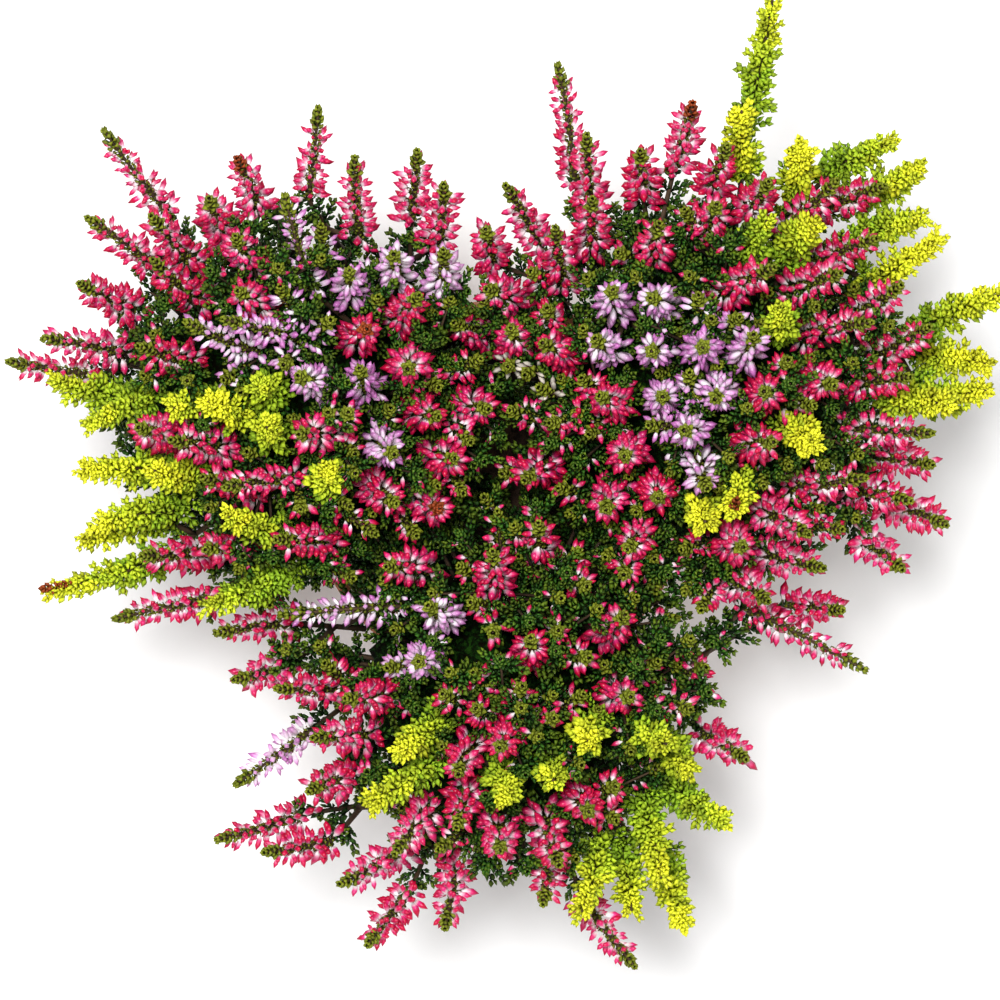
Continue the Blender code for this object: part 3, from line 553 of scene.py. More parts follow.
def is_within(place, outline):
    """Whether a place lies inside an outline: a line from it then crosses it an odd number of times."""
    first, second = outline, np.roll(outline, -1, axis=0)
    spans = (first[:, 1] > place[1]) != (second[:, 1] > place[1])
    first, second = first[spans], second[spans]
    way = second - first
    cross = first[:, 0] + (place[1] - first[:, 1]) * way[:, 0] / way[:, 1]
    return (cross > place[0]).sum() % 2 == 1


def add_offshoots(sprays):
    """Gives each gap a side branch from the nearest stalk below: flowering ones, then leafy ones."""
    shares = np.linspace(0.0, 1.0, 9)[:, None]
    covered = [spray["foot"][:2] + (spray["tip"] - spray["foot"])[:2] * shares for spray in sprays]
    dry, over_rim = places_of(DRY_TIPS), places_of(RIM_SHOOTS)
    covered = np.concatenate([*covered, dry, places_of(LEFT_OPEN), over_rim])
    flowering = find_gaps(covered, FLOWERING_GAP)
    leafy = find_gaps(np.concatenate([covered, flowering]), LEAFY_GAP)
    branch_off(sprays, "offshoots", flowering, FLOWERING_GAP["depth"])
    branch_off(sprays, "dry", dry, FLOWERING_GAP["depth"])
    branch_off(sprays, "shoots", [*leafy, *over_rim], LEAFY_GAP["depth"])
    return sprays


def branch_off(sprays, label, places, depth):
    """Shares out the tips of side branches among the sprays."""
    marks = np.array((0.5, 0.9))[:, None]
    stalks = np.array([spray["start"] + (spray["foot"] - spray["start"]) * marks for spray in sprays])
    reluctance = np.array([HOST_RELUCTANCE[spray["kind"]] for spray in sprays])
    for spray in sprays:
        spray[label] = []
    for number, (x, y) in enumerate(places):
        crown = min(CROWNS, key=lambda name: math.dist((x, y), over_plan(*CROWNS[name])))
        below = depth * (1.0 + 0.6 * math.sin(2.9 * number))
        tip = np.array((x, y, dome_height(x, y, crown) - below))
        away = np.linalg.norm(stalks - tip, axis=2).min(axis=1) * reluctance
        sprays[int(np.argmin(away))][label].append(tip)


# Stems, and the shapes that grow on them


class Stem:
    """A bent line with its directions, read by the distance along it."""

    def __init__(self, points):
        self.points = np.array(points, float)
        steps = np.linalg.norm(np.diff(self.points, axis=0), axis=1)
        self.marks = np.concatenate([[0.0], np.cumsum(steps)])
        self.length = self.marks[-1]
        self.ahead = unit(np.gradient(self.points, self.marks, axis=0))
        level = np.array((0.0, 0.0, 1.0)) if abs(self.ahead[0][2]) < 0.9 else np.array((0.0, 1.0, 0.0))
        sides = [unit(np.cross(self.ahead[0], level))]
        for way in self.ahead[1:]:
            sides.append(unit(sides[-1] - way * (sides[-1] @ way)))
        self.side = np.array(sides)

    def read(self, values, distances):
        return np.stack([np.interp(distances, self.marks, values[:, k]) for k in range(3)], axis=1)

    def at(self, distances):
        """Points, the way ahead and two ways across, at each distance."""
        ahead = unit(self.read(self.ahead, distances))
        side = self.read(self.side, distances)
        side = unit(side - ahead * (side * ahead).sum(axis=1, keepdims=True))
        return self.read(self.points, distances), ahead, side, np.cross(side, ahead)

    def around(self, distances, turns, leans, out):
        """Places on the stem's skin, the way that each faces, and the stem's own way there."""
        place, ahead, side, up = self.at(distances)
        outward = side * np.cos(turns)[:, None] + up * np.sin(turns)[:, None]
        facing = ahead * np.cos(leans)[:, None] + outward * np.sin(leans)[:, None]
        return place + outward * np.asarray(out).reshape(-1, 1), facing, ahead


class Shape:
    """A small mesh to be copied: it grows along +Z from the origin, with its inner side to +X."""

    def __init__(self, points, faces, along, leaf):
        self.points, self.faces, self.along, self.leaf = points, faces, along, leaf


def placed(shape, origins, facing, inward, sizes):
    """The points of copies of a shape that each grow from an origin, facing a way."""
    facing = unit(facing)
    side = unit(np.cross(facing, inward))
    over = np.cross(side, facing)
    turns = np.stack([over, side, facing], axis=2) * np.asarray(sizes).reshape(-1, 1, 1)
    return origins[:, None, :] + np.einsum("nij,vj->nvi", turns, shape.points)


def tube_mesh(stem, radii, distances, sides):
    """The points and faces of a closed round stem along a line."""
    place, ahead, side, up = stem.at(distances)
    turns = np.arange(sides) * 2 * math.pi / sides
    ring = side[:, None] * np.cos(turns)[:, None] + up[:, None] * np.sin(turns)[:, None]
    skin = (place[:, None] + ring * np.asarray(radii).reshape(-1, 1, 1)).reshape(-1, 3)
    points = np.concatenate([skin, place[:1], place[-1:] + ahead[-1:] * np.asarray(radii)[-1]])
    rows, columns = np.meshgrid(np.arange(len(distances) - 1), np.arange(sides), indexing="ij")
    low = (rows * sides + columns).reshape(-1)
    low_next = (rows * sides + (columns + 1) % sides).reshape(-1)
    first = np.stack([low, low + sides, low_next], axis=1)
    second = np.stack([low_next, low + sides, low_next + sides], axis=1)
    turn = np.arange(sides)
    after = (turn + 1) % sides
    end = (len(distances) - 1) * sides
    foot_cap = np.stack([np.full(sides, len(skin)), turn, after], axis=1)
    tip_cap = np.stack([np.full(sides, len(skin) + 1), end + after, end + turn], axis=1)
    return points, np.concatenate([first, second, foot_cap, tip_cap])


def copied_faces(shape, count):
    return (shape.faces[None] + (np.arange(count) * len(shape.points))[:, None, None]).reshape(-1, 3)


class Growth:
    """Gathers all that grows in one piece, and makes its mesh."""

    def __init__(self):
        self.points, self.faces, self.finish = [], [], []
        self.values = {"along": [], "leaf": [], "tone": [], "place": []}
        self.count = 0

    def put(self, points, faces, finish, **values):
        self.points.append(points)
        self.faces.append(faces + self.count)
        self.finish.append(np.broadcast_to(finish, len(faces)))
        for name, stored in self.values.items():
            stored.append(np.broadcast_to(values.get(name, 0.0), len(points)))
        self.count += len(points)

    def add(self, shape, origins, facing, inward, sizes, finish, tone, place=0.0):
        """Adds copies of a shape. Each has its own finish and tone, and its place on the spray."""
        count = len(origins)
        finish, tone, place = (np.broadcast_to(value, count) for value in (finish, tone, place))
        self.put(
            placed(shape, origins, facing, inward, sizes).reshape(-1, 3),
            copied_faces(shape, count),
            np.repeat(finish, len(shape.faces)),
            along=np.tile(shape.along, count),
            leaf=np.tile(shape.leaf, count),
            tone=np.repeat(tone, len(shape.points)),
            place=np.repeat(place, len(shape.points)),
        )

    def add_round(self, stem, shape, at, turns, leans, sizes, finish, tone, place=0.0, out=SKIN):
        """Adds copies of a shape round a stem, each turned about it and leaning away from it."""
        self.add(shape, *stem.around(at, turns, leans, out), sizes, finish, tone, place)

    def add_mixed(self, stem, shapes, pick, at, turns, leans, sizes, finish, tone, place, out=SKIN):
        """Adds copies of a few shapes round a stem, where each copy has its pick of them."""
        finish = np.broadcast_to(finish, len(at))
        for number, shape in enumerate(shapes):
            own = pick == number
            if own.any():
                facts = (sizes[own], finish[own], tone[own], place[own])
                self.add_round(stem, shape, at[own], turns[own], leans[own], *facts, out=out)

    def tube(self, stem, radii, sides, tone, distances=None):
        """Adds a closed round stem with its radii at even distances along it, or at those given."""
        if distances is None:
            distances = np.linspace(0.0, stem.length, len(radii))
        self.put(*tube_mesh(stem, radii, distances, sides), STEM, tone=tone)

    def make(self, name, materials):
        """The piece's object, at the origin, with its place in its mesh."""
        points = np.concatenate(self.points).astype(np.float32)
        faces = np.concatenate(self.faces).astype(np.int32)
        mesh = bpy.data.meshes.new(name)
        mesh.vertices.add(len(points))
        mesh.vertices.foreach_set("co", points.ravel())
        mesh.loops.add(faces.size)
        mesh.loops.foreach_set("vertex_index", faces.ravel())
        mesh.polygons.add(len(faces))
        mesh.polygons.foreach_set("loop_start", np.arange(0, faces.size, 3, dtype=np.int32))
        mesh.polygons.foreach_set("material_index", np.concatenate(self.finish).astype(np.int32))
        mesh.polygons.foreach_set("use_smooth", np.ones(len(faces), bool))
        for label, stored in self.values.items():
            attribute = mesh.attributes.new(label, "FLOAT", "POINT")
            attribute.data.foreach_set("value", np.concatenate(stored).astype(np.float32))
        mesh.update(calc_edges=True)
        mesh.validate()
        for material in materials:
            mesh.materials.append(material)
        made = bpy.data.objects.new(name, mesh)
        bpy.context.scene.collection.objects.link(made)
        return made


# Modelling by hand: a primitive, shaped in edit mode


def begin(add, **how):
    """Adds a primitive with nothing else selected, and goes into edit mode."""
    if bpy.context.object and bpy.context.object.mode != "OBJECT":
        bpy.ops.object.mode_set(mode="OBJECT")
    bpy.ops.object.select_all(action="DESELECT")
    add(**how)
    bpy.ops.object.mode_set(mode="EDIT")
    return bpy.context.object


def select_points(thing, chosen):
    """Selects the mesh's points with these indices, in edit mode."""
    bm = bmesh.from_edit_mesh(thing.data)
    bm.verts.ensure_lookup_table()
    bpy.ops.mesh.select_mode(type="VERT")
    for vertex in bm.verts:
        vertex.select_set(vertex.index in chosen)
    bm.select_flush_mode()
    bmesh.update_edit_mesh(thing.data)


def ball_rings(thing):
    """The indices of a ball's points, ring by ring, from its foot to its top."""
    bm = bmesh.from_edit_mesh(thing.data)
    rings = {}
    for vertex in bm.verts:
        rings.setdefault(round(vertex.co.z, 5), set()).add(vertex.index)
    return [rings[height] for height in sorted(rings)]


def axis_points(thing, height):
    """The indices of the points on the Z axis at a height."""
    bm = bmesh.from_edit_mesh(thing.data)
    near = 1e-5
    points = [vertex for vertex in bm.verts if vertex.co.xy.length < near]
    return {vertex.index for vertex in points if abs(vertex.co.z - height) < near}


def shape_rings(thing, rings):
    """Sizes and raises each ring of a ball: height, half widths across X and Y, shift along X."""
    for chosen, (height, across_x, across_y, shift) in zip(ball_rings(thing), rings):
        bm = bmesh.from_edit_mesh(thing.data)
        bm.verts.ensure_lookup_table()
        corners = [bm.verts[index].co.copy() for index in chosen]
        wide = max(corner.xy.length for corner in corners)
        select_points(thing, chosen)
        if wide > 1e-6:
            size = (across_x / wide, across_y / wide, 1.0)
            bpy.ops.transform.resize(value=size, center_override=(0.0, 0.0, corners[0].z))
        bpy.ops.transform.translate(value=(shift, 0.0, height - corners[0].z))


def finished_shape(thing, length):
    """The triangulated mesh of a modelled shape, as a Shape, and nothing left of its object."""
    bpy.ops.mesh.select_all(action="SELECT")
    bpy.ops.mesh.quads_convert_to_tris()
    bpy.ops.mesh.normals_make_consistent(inside=False)
    bpy.ops.object.mode_set(mode="OBJECT")
    mesh = thing.data
    points = np.array([vertex.co for vertex in mesh.vertices], float)
    faces = np.array([tuple(face.vertices) for face in mesh.polygons], int)
    bpy.data.objects.remove(thing, do_unlink=True)
    along = np.clip(points[:, 2] / length, 0.0, 1.0)
    return Shape(points, faces, along, along.copy())


def model_bud(settings):
    """A bud on its short stalk: slim below, swollen at two thirds, and drawn out to a point."""
    length, half = settings.bud_length, settings.bud_width / 2
    thing = begin(bpy.ops.mesh.primitive_uv_sphere_add, segments=4, ring_count=4, radius=0.001)
    shape_rings(
        thing,
        (
            (0.0, 0.0, 0.0, 0.0),
            (0.32 * length, 0.36 * half, 0.36 * half, 0.0),
            (0.46 * length, 0.92 * half, 0.92 * half, 0.0),
            (0.74 * length, half, half, 0.08 * half),
            (length, 0.0, 0.0, 0.30 * half),
        ),
    )
    return finished_shape(thing, length)


def model_leaf(settings):
    """A scale leaf: keeled on its outer side, hollowed on its inner side, with its tip bent inwards."""
    length, half = settings.leaf_length, settings.leaf_width / 2
    cone = {"vertices": 3, "radius1": half, "radius2": 0.0, "depth": 0.5 * length}
    middle = (0.0, 0.0, 0.75 * length)
    thing = begin(bpy.ops.mesh.primitive_cone_add, location=middle, end_fill_type="TRIFAN", **cone)
    bpy.ops.object.mode_set(mode="OBJECT")
    bpy.ops.object.transform_apply(location=True, rotation=False, scale=False)
    bpy.ops.object.mode_set(mode="EDIT")
    bpy.ops.mesh.select_all(action="SELECT")
    bpy.ops.transform.rotate(value=-math.pi / 2, orient_axis="Z", center_override=(0.0, 0.0, 0.0))
    select_points(thing, axis_points(thing, 0.5 * length))
    bpy.ops.transform.translate(value=(0.0, 0.0, -0.5 * length))
    shape_rings(
        thing,
        (
            (0.0, 0.0, 0.0, 0.0),
            (0.52 * length, 0.80 * half, 1.15 * half, 0.0),
            (length, 0.0, 0.0, 0.35 * half),
        ),
    )
    return finished_shape(thing, length)


def model_crumb():
    """A crumb of soil, lumpy all round."""
    thing = begin(bpy.ops.mesh.primitive_ico_sphere_add, subdivisions=1, radius=1.0)
    bpy.ops.mesh.select_all(action="SELECT")
    bpy.ops.transform.resize(value=(1.0, 0.8, 0.65))
    bpy.ops.mesh.vertices_smooth(factor=0.2)
    return finished_shape(thing, 1.0)


def leafy_shoot(leaf, length, levels, leans, sizes, bend, out):
    """A short shoot with its stem and its leaves in rings of three, as one Shape to be copied."""
    steps = np.linspace(0.0, 1.0, 7)
    stem = Stem(np.stack([bend * steps**2 * length, np.zeros_like(steps), steps * length], axis=1))
    level = np.repeat(np.arange(levels), 3)
    share = (level + 0.35) / levels
    turns = ring_turns(levels, 3, math.pi / 3) + 0.25 * np.sin(3.0 * level)
    lean = leans[0] + (leans[1] - leans[0]) * share
    size = sizes[0] + (sizes[1] - sizes[0]) * share
    points = placed(leaf, *stem.around(share * length, turns, lean, out), size).reshape(-1, 3)
    own = np.tile(leaf.leaf, len(share))
    along = np.clip(np.repeat(share, len(leaf.points)) + 0.12 * own, 0.0, 1.0)
    twig_points, twig_faces = tube_mesh(stem, (0.00042, 0.00022), (0.0, 0.9 * length), 3)
    faces = np.concatenate([copied_faces(leaf, len(share)), twig_faces + len(points)])
    bare = np.zeros(len(twig_points))
    points = np.concatenate([points, twig_points])
    return Shape(points, faces, np.concatenate([along, bare]), np.concatenate([own, bare]))


SHAPES = {}


def make_shapes(scene):
    """Models every small shape once."""
    if SHAPES:
        return
    leaves = scene.heather_leaves
    leaf = model_leaf(leaves)
    sprig = {"levels": 5, "leans": (1.00, 0.45), "sizes": (1.15, 1.00), "out": 0.0003}
    branchlet = {"levels": 3, "leans": (0.95, 0.40), "sizes": (1.30, 1.15), "out": 0.0002}
    bends = (-0.25, 0.05, 0.30)
    SHAPES["leaf"] = leaf
    SHAPES["bud"] = model_bud(scene.heather_spikes)
    SHAPES["crumb"] = model_crumb()
    SHAPES["sprigs"] = [leafy_shoot(leaf, leaves.sprig_length, bend=bend, **sprig) for bend in bends]
    SHAPES["branchlets"] = [
        leafy_shoot(leaf, leaves.branchlet_length, bend=bend, **branchlet) for bend in bends
    ]


# Materials


def feed(socket, value):
    """Links a socket to another node's output, or sets it to a number or a colour."""
    if isinstance(value, bpy.types.NodeSocket):
        socket.id_data.links.new(value, socket)
    else:
        socket.default_value = value


def add_node(tree, kind, output, inputs, **choices):
    """One output of a new node, with its choices made and its inputs fed."""
    made = tree.nodes.new(kind)
    for name, choice in choices.items():
        setattr(made, name, choice)
    for name, value in inputs.items():
        feed(made.inputs[name], value)
    return made.outputs[output]


def math_node(tree, operation, first, second):
    return add_node(tree, "ShaderNodeMath", "Value", {0: first, 1: second}, operation=operation)


def mix_node(tree, factor, first, second, blend="MIX"):
    inputs = {0: factor, 6: first, 7: second}
    return add_node(tree, "ShaderNodeMix", 2, inputs, data_type="RGBA", blend_type=blend)


def attribute_node(tree, name):
    return add_node(tree, "ShaderNodeAttribute", "Fac", {}, attribute_name=name)


def noise_node(tree, scale, detail=2.0, stretch=None):
    place = add_node(tree, "ShaderNodeTexCoord", "Object", {})
    if stretch:
        place = add_node(tree, "ShaderNodeMapping", "Vector", {"Vector": place, "Scale": stretch})
    inputs = {"Vector": place, "Scale": scale, "Detail": detail}
    return add_node(tree, "ShaderNodeTexNoise", "Fac", inputs)


def ramp_node(tree, factor, *stops):
    """A colour ramp through stops, each a place and a colour."""
    made = tree.nodes.new("ShaderNodeValToRGB")
    elements = made.color_ramp.elements
    while len(elements) < len(stops):
        elements.new(0.5)
    for element, (place, colour) in zip(elements, stops):
        element.position = place
        element.color = opaque(colour)
    feed(made.inputs["Fac"], factor)
    return made.outputs["Color"]


def opaque(colour):
    return (*colour, 1.0)


def tinted(colour, *shares):
    """A colour with its parts changed, all by one share or each by its own."""
    return tuple(share * part for share, part in zip(shares if len(shares) == 3 else shares * 3, colour))


def between(one, other):
    return tuple((first + second) / 2 for first, second in zip(one, other))


def new_group(name, values, output, kind):
    """An empty node group with named sockets: the group, its inputs and its output."""
    group = bpy.data.node_groups.new(name, "ShaderNodeTree")
    for label, value in values.items():
        socket_type = "NodeSocketFloat" if isinstance(value, float) else "NodeSocketColor"
        socket = group.interface.new_socket(label, in_out="INPUT", socket_type=socket_type)
        socket.default_value = value
    group.interface.new_socket(output, in_out="OUTPUT", socket_type=kind)
    inputs = group.nodes.new("NodeGroupInput").outputs
    return group, inputs, group.nodes.new("NodeGroupOutput").inputs[output]


def dapple_group():
    """Light and dark patches over a colour, with a lift that each copy has of its own."""
    grey = (0.5, 0.5, 0.5, 1.0)
    values = {"Color": grey, "Tone": 0.5, "Scale": 400.0, "Patches": 0.3, "Spread": 0.3}
    group, given, result = new_group("Dapple", values, "Color", "NodeSocketColor")
    patches = math_node(group, "SUBTRACT", noise_node(group, given["Scale"]), 0.5)
    patches = math_node(group, "MULTIPLY", patches, given["Patches"])
    lift = math_node(group, "SUBTRACT", given["Tone"], 0.5)
    lift = math_node(group, "MULTIPLY", lift, given["Spread"])
    value = math_node(group, "ADD", math_node(group, "ADD", patches, lift), 1.0)
    inputs = {"Value": value, "Color": given["Color"]}
    feed(result, add_node(group, "ShaderNodeHueSaturation", "Color", inputs))
    return group


def gloss_group():
    """Patches that are smoother and patches that are rougher."""
    values = {"Scale": 500.0, "Low": 0.4, "High": 0.7}
    group, given, result = new_group("Uneven Gloss", values, "Roughness", "NodeSocketFloat")
    patches = noise_node(group, given["Scale"])
    inputs = {"Value": patches, "To Min": given["Low"], "To Max": given["High"]}
    feed(result, add_node(group, "ShaderNodeMapRange", "Result", inputs))
    return group


def grain_group():
    """The height of a fine, uneven grain."""
    values = {"Scale": 1800.0, "Detail": 2.0}
    group, given, result = new_group("Grain", values, "Height", "NodeSocketFloat")
    feed(result, noise_node(group, given["Scale"], given["Detail"]))
    return group


GROUPS = {"Dapple": dapple_group, "Uneven Gloss": gloss_group, "Grain": grain_group}


def place_group(tree, name, **inputs):
    """The output of a node group that is made once and placed with its own values."""
    group = bpy.data.node_groups.get(name) or GROUPS[name]()
    return add_node(tree, "ShaderNodeGroup", 0, inputs, node_tree=group)


def dappled(tree, colour, tone, scale, patches, spread):
    values = {"Scale": scale, "Patches": patches, "Spread": spread}
    return place_group(tree, "Dapple", Color=colour, Tone=attribute_node(tree, tone), **values)


def grain(tree, scale, detail=2.0):
    return place_group(tree, "Grain", Scale=scale, Detail=detail)


def new_material(name, specular=0.5):
    material = bpy.data.materials.new(name)
    material.use_nodes = True
    tree = material.node_tree
    shader = tree.nodes["Principled BSDF"].inputs
    shader["Specular IOR Level"].default_value = specular
    return material, tree, shader


def dress(tree, shader, colour, gloss, height, strength, distance):
    """Feeds a shader its colour, its gloss (scale, least and most roughness) and its relief."""
    scale, low, high = gloss
    inputs = {"Height": height, "Strength": strength, "Distance": distance}
    feed(shader["Base Color"], colour)
    feed(shader["Roughness"], place_group(tree, "Uneven Gloss", Scale=scale, Low=low, High=high))
    feed(shader["Normal"], add_node(tree, "ShaderNodeBump", "Normal", inputs))


def bud_material(name, deep, bright, pale, stalk, fade):
    """Buds that are pale where they open from and deep at their tips, some far brighter than others."""
    material, tree, shader = new_material(name)
    along = attribute_node(tree, "along")
    foot = ((0.27, stalk), (0.31, pale))
    dark_bud = ramp_node(tree, along, *foot, (0.41, pale), (0.53, bright), (0.72, deep))
    light_bud = ramp_node(tree, along, *foot, (fade, pale), (fade + 0.2, bright), (1.0, deep))
    colour = mix_node(tree, attribute_node(tree, "tone"), dark_bud, light_bud)
    colour = dappled(tree, colour, "place", scale=700.0, patches=0.35, spread=0.25)
    dress(
        tree, shader, colour, gloss=(900.0, 0.24, 0.44),
        height=grain(tree, scale=2600.0), strength=0.35, distance=0.0002,
    )
    return material


def leaf_material(name, base, middle, tip, lift, guide="along"):
    """Small leaves that change from their shoot's foot to its tip, each lighter at its point: a painted
    highlight.
    """
    material, tree, shader = new_material(name, specular=0.3)
    # Where the foot colour is deep green, each shoot darkens towards its stem: painted shade
    colour = ramp_node(tree, attribute_node(tree, guide), (0.0, base), (0.55, middle), (1.0, tip))
    # Painted highlight: the point of each leaf is multiplied by the lift colour
    light = mix_node(tree, 1.0, colour, opaque(lift), "MULTIPLY")
    colour = mix_node(tree, attribute_node(tree, "leaf"), colour, light)
    colour = dappled(tree, colour, "tone", scale=500.0, patches=0.5, spread=0.7)
    dress(
        tree, shader, colour, gloss=(800.0, 0.45, 0.70),
        height=grain(tree, scale=1800.0), strength=0.4, distance=0.0002,
    )
    return material


def shade_material(deep, green):
    """Painted shade: the twigs and old leaves at the heart of a bush, coloured near-black green and
    brown.
    """
    material, tree, shader = new_material("Shaded heart", specular=0.1)
    stops = ((0.38, tinted(deep, 1.6, 0.35, 0.6)), (0.50, deep), (0.62, tinted(green, 0.75)))
    colour = ramp_node(tree, noise_node(tree, scale=620.0, detail=4.0), *stops)
    dress(
        tree, shader, colour, gloss=(500.0, 0.8, 1.0),
        height=grain(tree, scale=600.0, detail=3.0), strength=1.0, distance=0.002,
    )
    return material


def bark_material(bark):
    """Brown stems, streaked along their length and rough."""
    material, tree, shader = new_material("Heather bark")
    streaks = noise_node(tree, scale=500.0, detail=4.0, stretch=(1.0, 1.0, 0.25))
    colour = ramp_node(tree, streaks, (0.3, bark), (0.7, tinted(bark, 1.8)))
    colour = dappled(tree, colour, "tone", scale=90.0, patches=0.5, spread=0.4)
    dress(
        tree, shader, colour, gloss=(300.0, 0.65, 0.92),
        height=streaks, strength=0.8, distance=0.0005,
    )
    return material


def clay_material(clay, salts):
    """Fired clay with turning marks, darker and lighter clouds, and pale salts here and there."""
    material, tree, shader = new_material("Fired clay")
    clouds = noise_node(tree, scale=22.0, detail=5.0)
    colour = ramp_node(tree, clouds, (0.30, tinted(clay, 0.72)), (0.62, clay))
    none, most = (0.0, 0.0, 0.0), (0.75, 0.75, 0.75)
    mask = ramp_node(tree, noise_node(tree, scale=60.0, detail=8.0), (0.52, none), (0.74, most))
    colour = mix_node(tree, mask, colour, opaque(salts))
    marks = noise_node(tree, scale=45.0, detail=3.0, stretch=(0.15, 0.15, 9.0))
    fine = math_node(tree, "MULTIPLY", grain(tree, scale=1500.0, detail=3.0), 0.35)
    height = math_node(tree, "ADD", marks, fine)
    dress(
        tree, shader, colour, gloss=(120.0, 0.70, 0.92),
        height=height, strength=0.5, distance=0.0009,
    )
    return material


def soil_material(soil):
    """Dark, crumbly soil with a few brown fibres."""
    material, tree, shader = new_material("Potting soil")
    crumbs = noise_node(tree, scale=380.0, detail=6.0)
    colour = ramp_node(tree, crumbs, (0.35, soil), (0.75, tinted(soil, 3.4, 3.0, 2.6)))
    colour = dappled(tree, colour, "tone", scale=60.0, patches=0.6, spread=1.2)
    dress(
        tree, shader, colour, gloss=(200.0, 0.85, 1.0),
        height=crumbs, strength=1.0, distance=0.0018,
    )
    return material


def floor_material():
    material, tree, shader = new_material("Pale floor")
    shader["Roughness"].default_value = 0.9
    stops = ((0.0, (0.90, 0.90, 0.90)), (1.0, (0.93, 0.93, 0.93)))
    feed(shader["Base Color"], ramp_node(tree, noise_node(tree, scale=3.0), *stops))
    return material


MATERIALS = {}


def make_materials(scene):
    """Makes every finish once."""
    if MATERIALS:
        return MATERIALS
    spikes, leaves, pot = scene.heather_spikes, scene.heather_leaves, scene.heather_pot
    names = ("deep", "green", "olive", "yellow", "lime", "rust", "straw", "bark")
    leaf_colours = (tuple(getattr(leaves, name)) for name in names)
    deep, green, olive, yellow, lime, rust, straw, bark = leaf_colours
    pink = (spikes.crimson, spikes.pink, spikes.blush, spikes.stalk)
    lilac = (spikes.lilac, spikes.mauve, spikes.milk, spikes.stalk)
    young, lime_yellow = between(green, olive), between(lime, yellow)
    MATERIALS.update(
        pink=bud_material("Pink bud", *pink, fade=0.50),
        lilac=bud_material("Lilac bud", *lilac, fade=0.66),
        # The last colour of each leaf finish lightens every leaf's point: a painted highlight
        tuft=leaf_material("Olive tuft", green, olive, olive, (1.5, 1.4, 1.3)),
        # Deep green at each shoot's foot is painted shade
        leaf=leaf_material("Green leaf", deep, green, young, (1.6, 1.5, 1.3)),
        golden=leaf_material("Golden leaf", lime, lime_yellow, yellow, (1.25, 1.25, 1.1), "place"),
        lime=leaf_material("Lime leaf", green, lime, lime, (1.5, 1.4, 1.1)),
        dry=leaf_material("Withered bud", rust, straw, straw, (1.5, 1.5, 1.5)),
        rust=leaf_material("Rusty leaf", rust, rust, rust, (1.6, 1.5, 1.3)),
        shade=shade_material(deep, green),
        bark=bark_material(bark),
        clay=clay_material(tuple(pot.clay), tuple(pot.lime_bloom)),
        soil=soil_material(tuple(pot.soil)),
    )
    return MATERIALS


# Sprays


def spray_stem(spray):
    """The line of a spray's stem from where it starts to its tip, and how far along it the foot is."""
    start, foot, tip = spray["start"], spray["foot"], spray["tip"]
    stalk = np.linspace(0.0, 1.0, 16)[:, None]
    bloom = np.linspace(0.0, 1.0, 28)[1:, None]
    rise = np.array((0.0, 0.0, SPRAY_BOW * np.linalg.norm(tip - foot)))
    turn = 4.1 * spray["index"]
    sway = SPRAY_SWAY * np.array((math.cos(turn), math.sin(turn), 0.0))
    spike = foot + (tip - foot) * bloom + rise * 4 * bloom * (1 - bloom) + sway * bloom**2
    line = np.concatenate([start + (foot - start) * stalk, spike])
    for _ in range(6):
        line[1:-1] = (line[:-2] + 2 * line[1:-1] + line[2:]) / 4
    stem = Stem(line)
    return stem, stem.marks[len(stalk) - 1]


def offshoot_stem(stem, foot_at, tip):
    """A side branch from a spray's stalk, which leaves it sideways and then rises to its tip."""
    places = stem.at(np.linspace(0.35, 0.95, 8) * foot_at)[0]
    rise = tip[2] - places[:, 2]
    flat = np.linalg.norm(places[:, :2] - tip[:2], axis=1)
    origin = places[np.argmin(np.abs(rise - 1.3 * flat) + 0.3 * flat)]
    share = np.array((0.75, 0.75, 0.4))
    bend = share * tip + (1 - share) * origin
    steps = np.linspace(0.0, 1.0, 14)[:, None]
    return Stem(origin * (1 - steps) ** 2 + 2 * bend * steps * (1 - steps) + tip * steps**2)


def grow_sprigs(growth, stem, at, turns, rng):
    """Leafy side shoots round a stem."""
    count = len(at)
    leans = rng.uniform(0.65, 1.05, count)
    sizes = rng.uniform(0.75, 1.15, count)
    pick = rng.integers(0, len(SHAPES["sprigs"]), count)
    tone = rng.random(count)
    place = 0.25 * rng.random(count)
    growth.add_mixed(stem, SHAPES["sprigs"], pick, at, turns, leans, sizes, LEAF, tone, place)


def grow_stem(growth, stem, radii, stations, rng, rings, sides):
    """A stem and the opposite pairs of leafy sprigs on it."""
    growth.tube(stem, np.linspace(*radii, rings), sides, tone=rng.random())
    if len(stations):
        turns = ring_turns(len(stations), 2, PAIR_TURN)
        turns = turns + rng.normal(0.0, 0.25, len(turns))
        grow_sprigs(growth, stem, np.repeat(stations, 2), turns, rng)


def grow_stalk(growth, stem, foot_at, rng):
    stations = np.arange(0.55 * foot_at, foot_at + 0.001, STALK_SPRIG_STEP)
    grow_stem(growth, stem, STALK_RADII, stations, rng, rings=14, sides=5)


def grow_offshoot(growth, stem, foot_at, tip, rng):
    """The stem of a side branch with its sprigs, which leave its last 12 mm free."""
    side = offshoot_stem(stem, foot_at, tip)
    stations = np.arange(0.30 * side.length, side.length - 0.012, BRANCH_SPRIG_STEP)
    grow_stem(growth, side, BRANCH_RADII, stations, rng, rings=6, sides=4)
    return side


def grow_tuft(growth, stem, from_at, rng, finish):
    """The leafy tuft at a stem's tip."""
    rings, each = 4, 5
    share = np.repeat(np.arange(rings), each) / (rings - 1)
    count = len(share)
    at = from_at + share * (stem.length - from_at)
    turns = ring_turns(rings, each, math.pi / each) + rng.normal(0.0, 0.12, count)
    leans = graded(rng, share, TUFT_LEAN)
    sizes = graded(rng, share, TUFT_SIZE)
    tone = round_about(rng, 0.5, 0.25, count)
    growth.add_round(stem, SHAPES["leaf"], at, turns, leans, sizes, finish, tone, place=1.0)


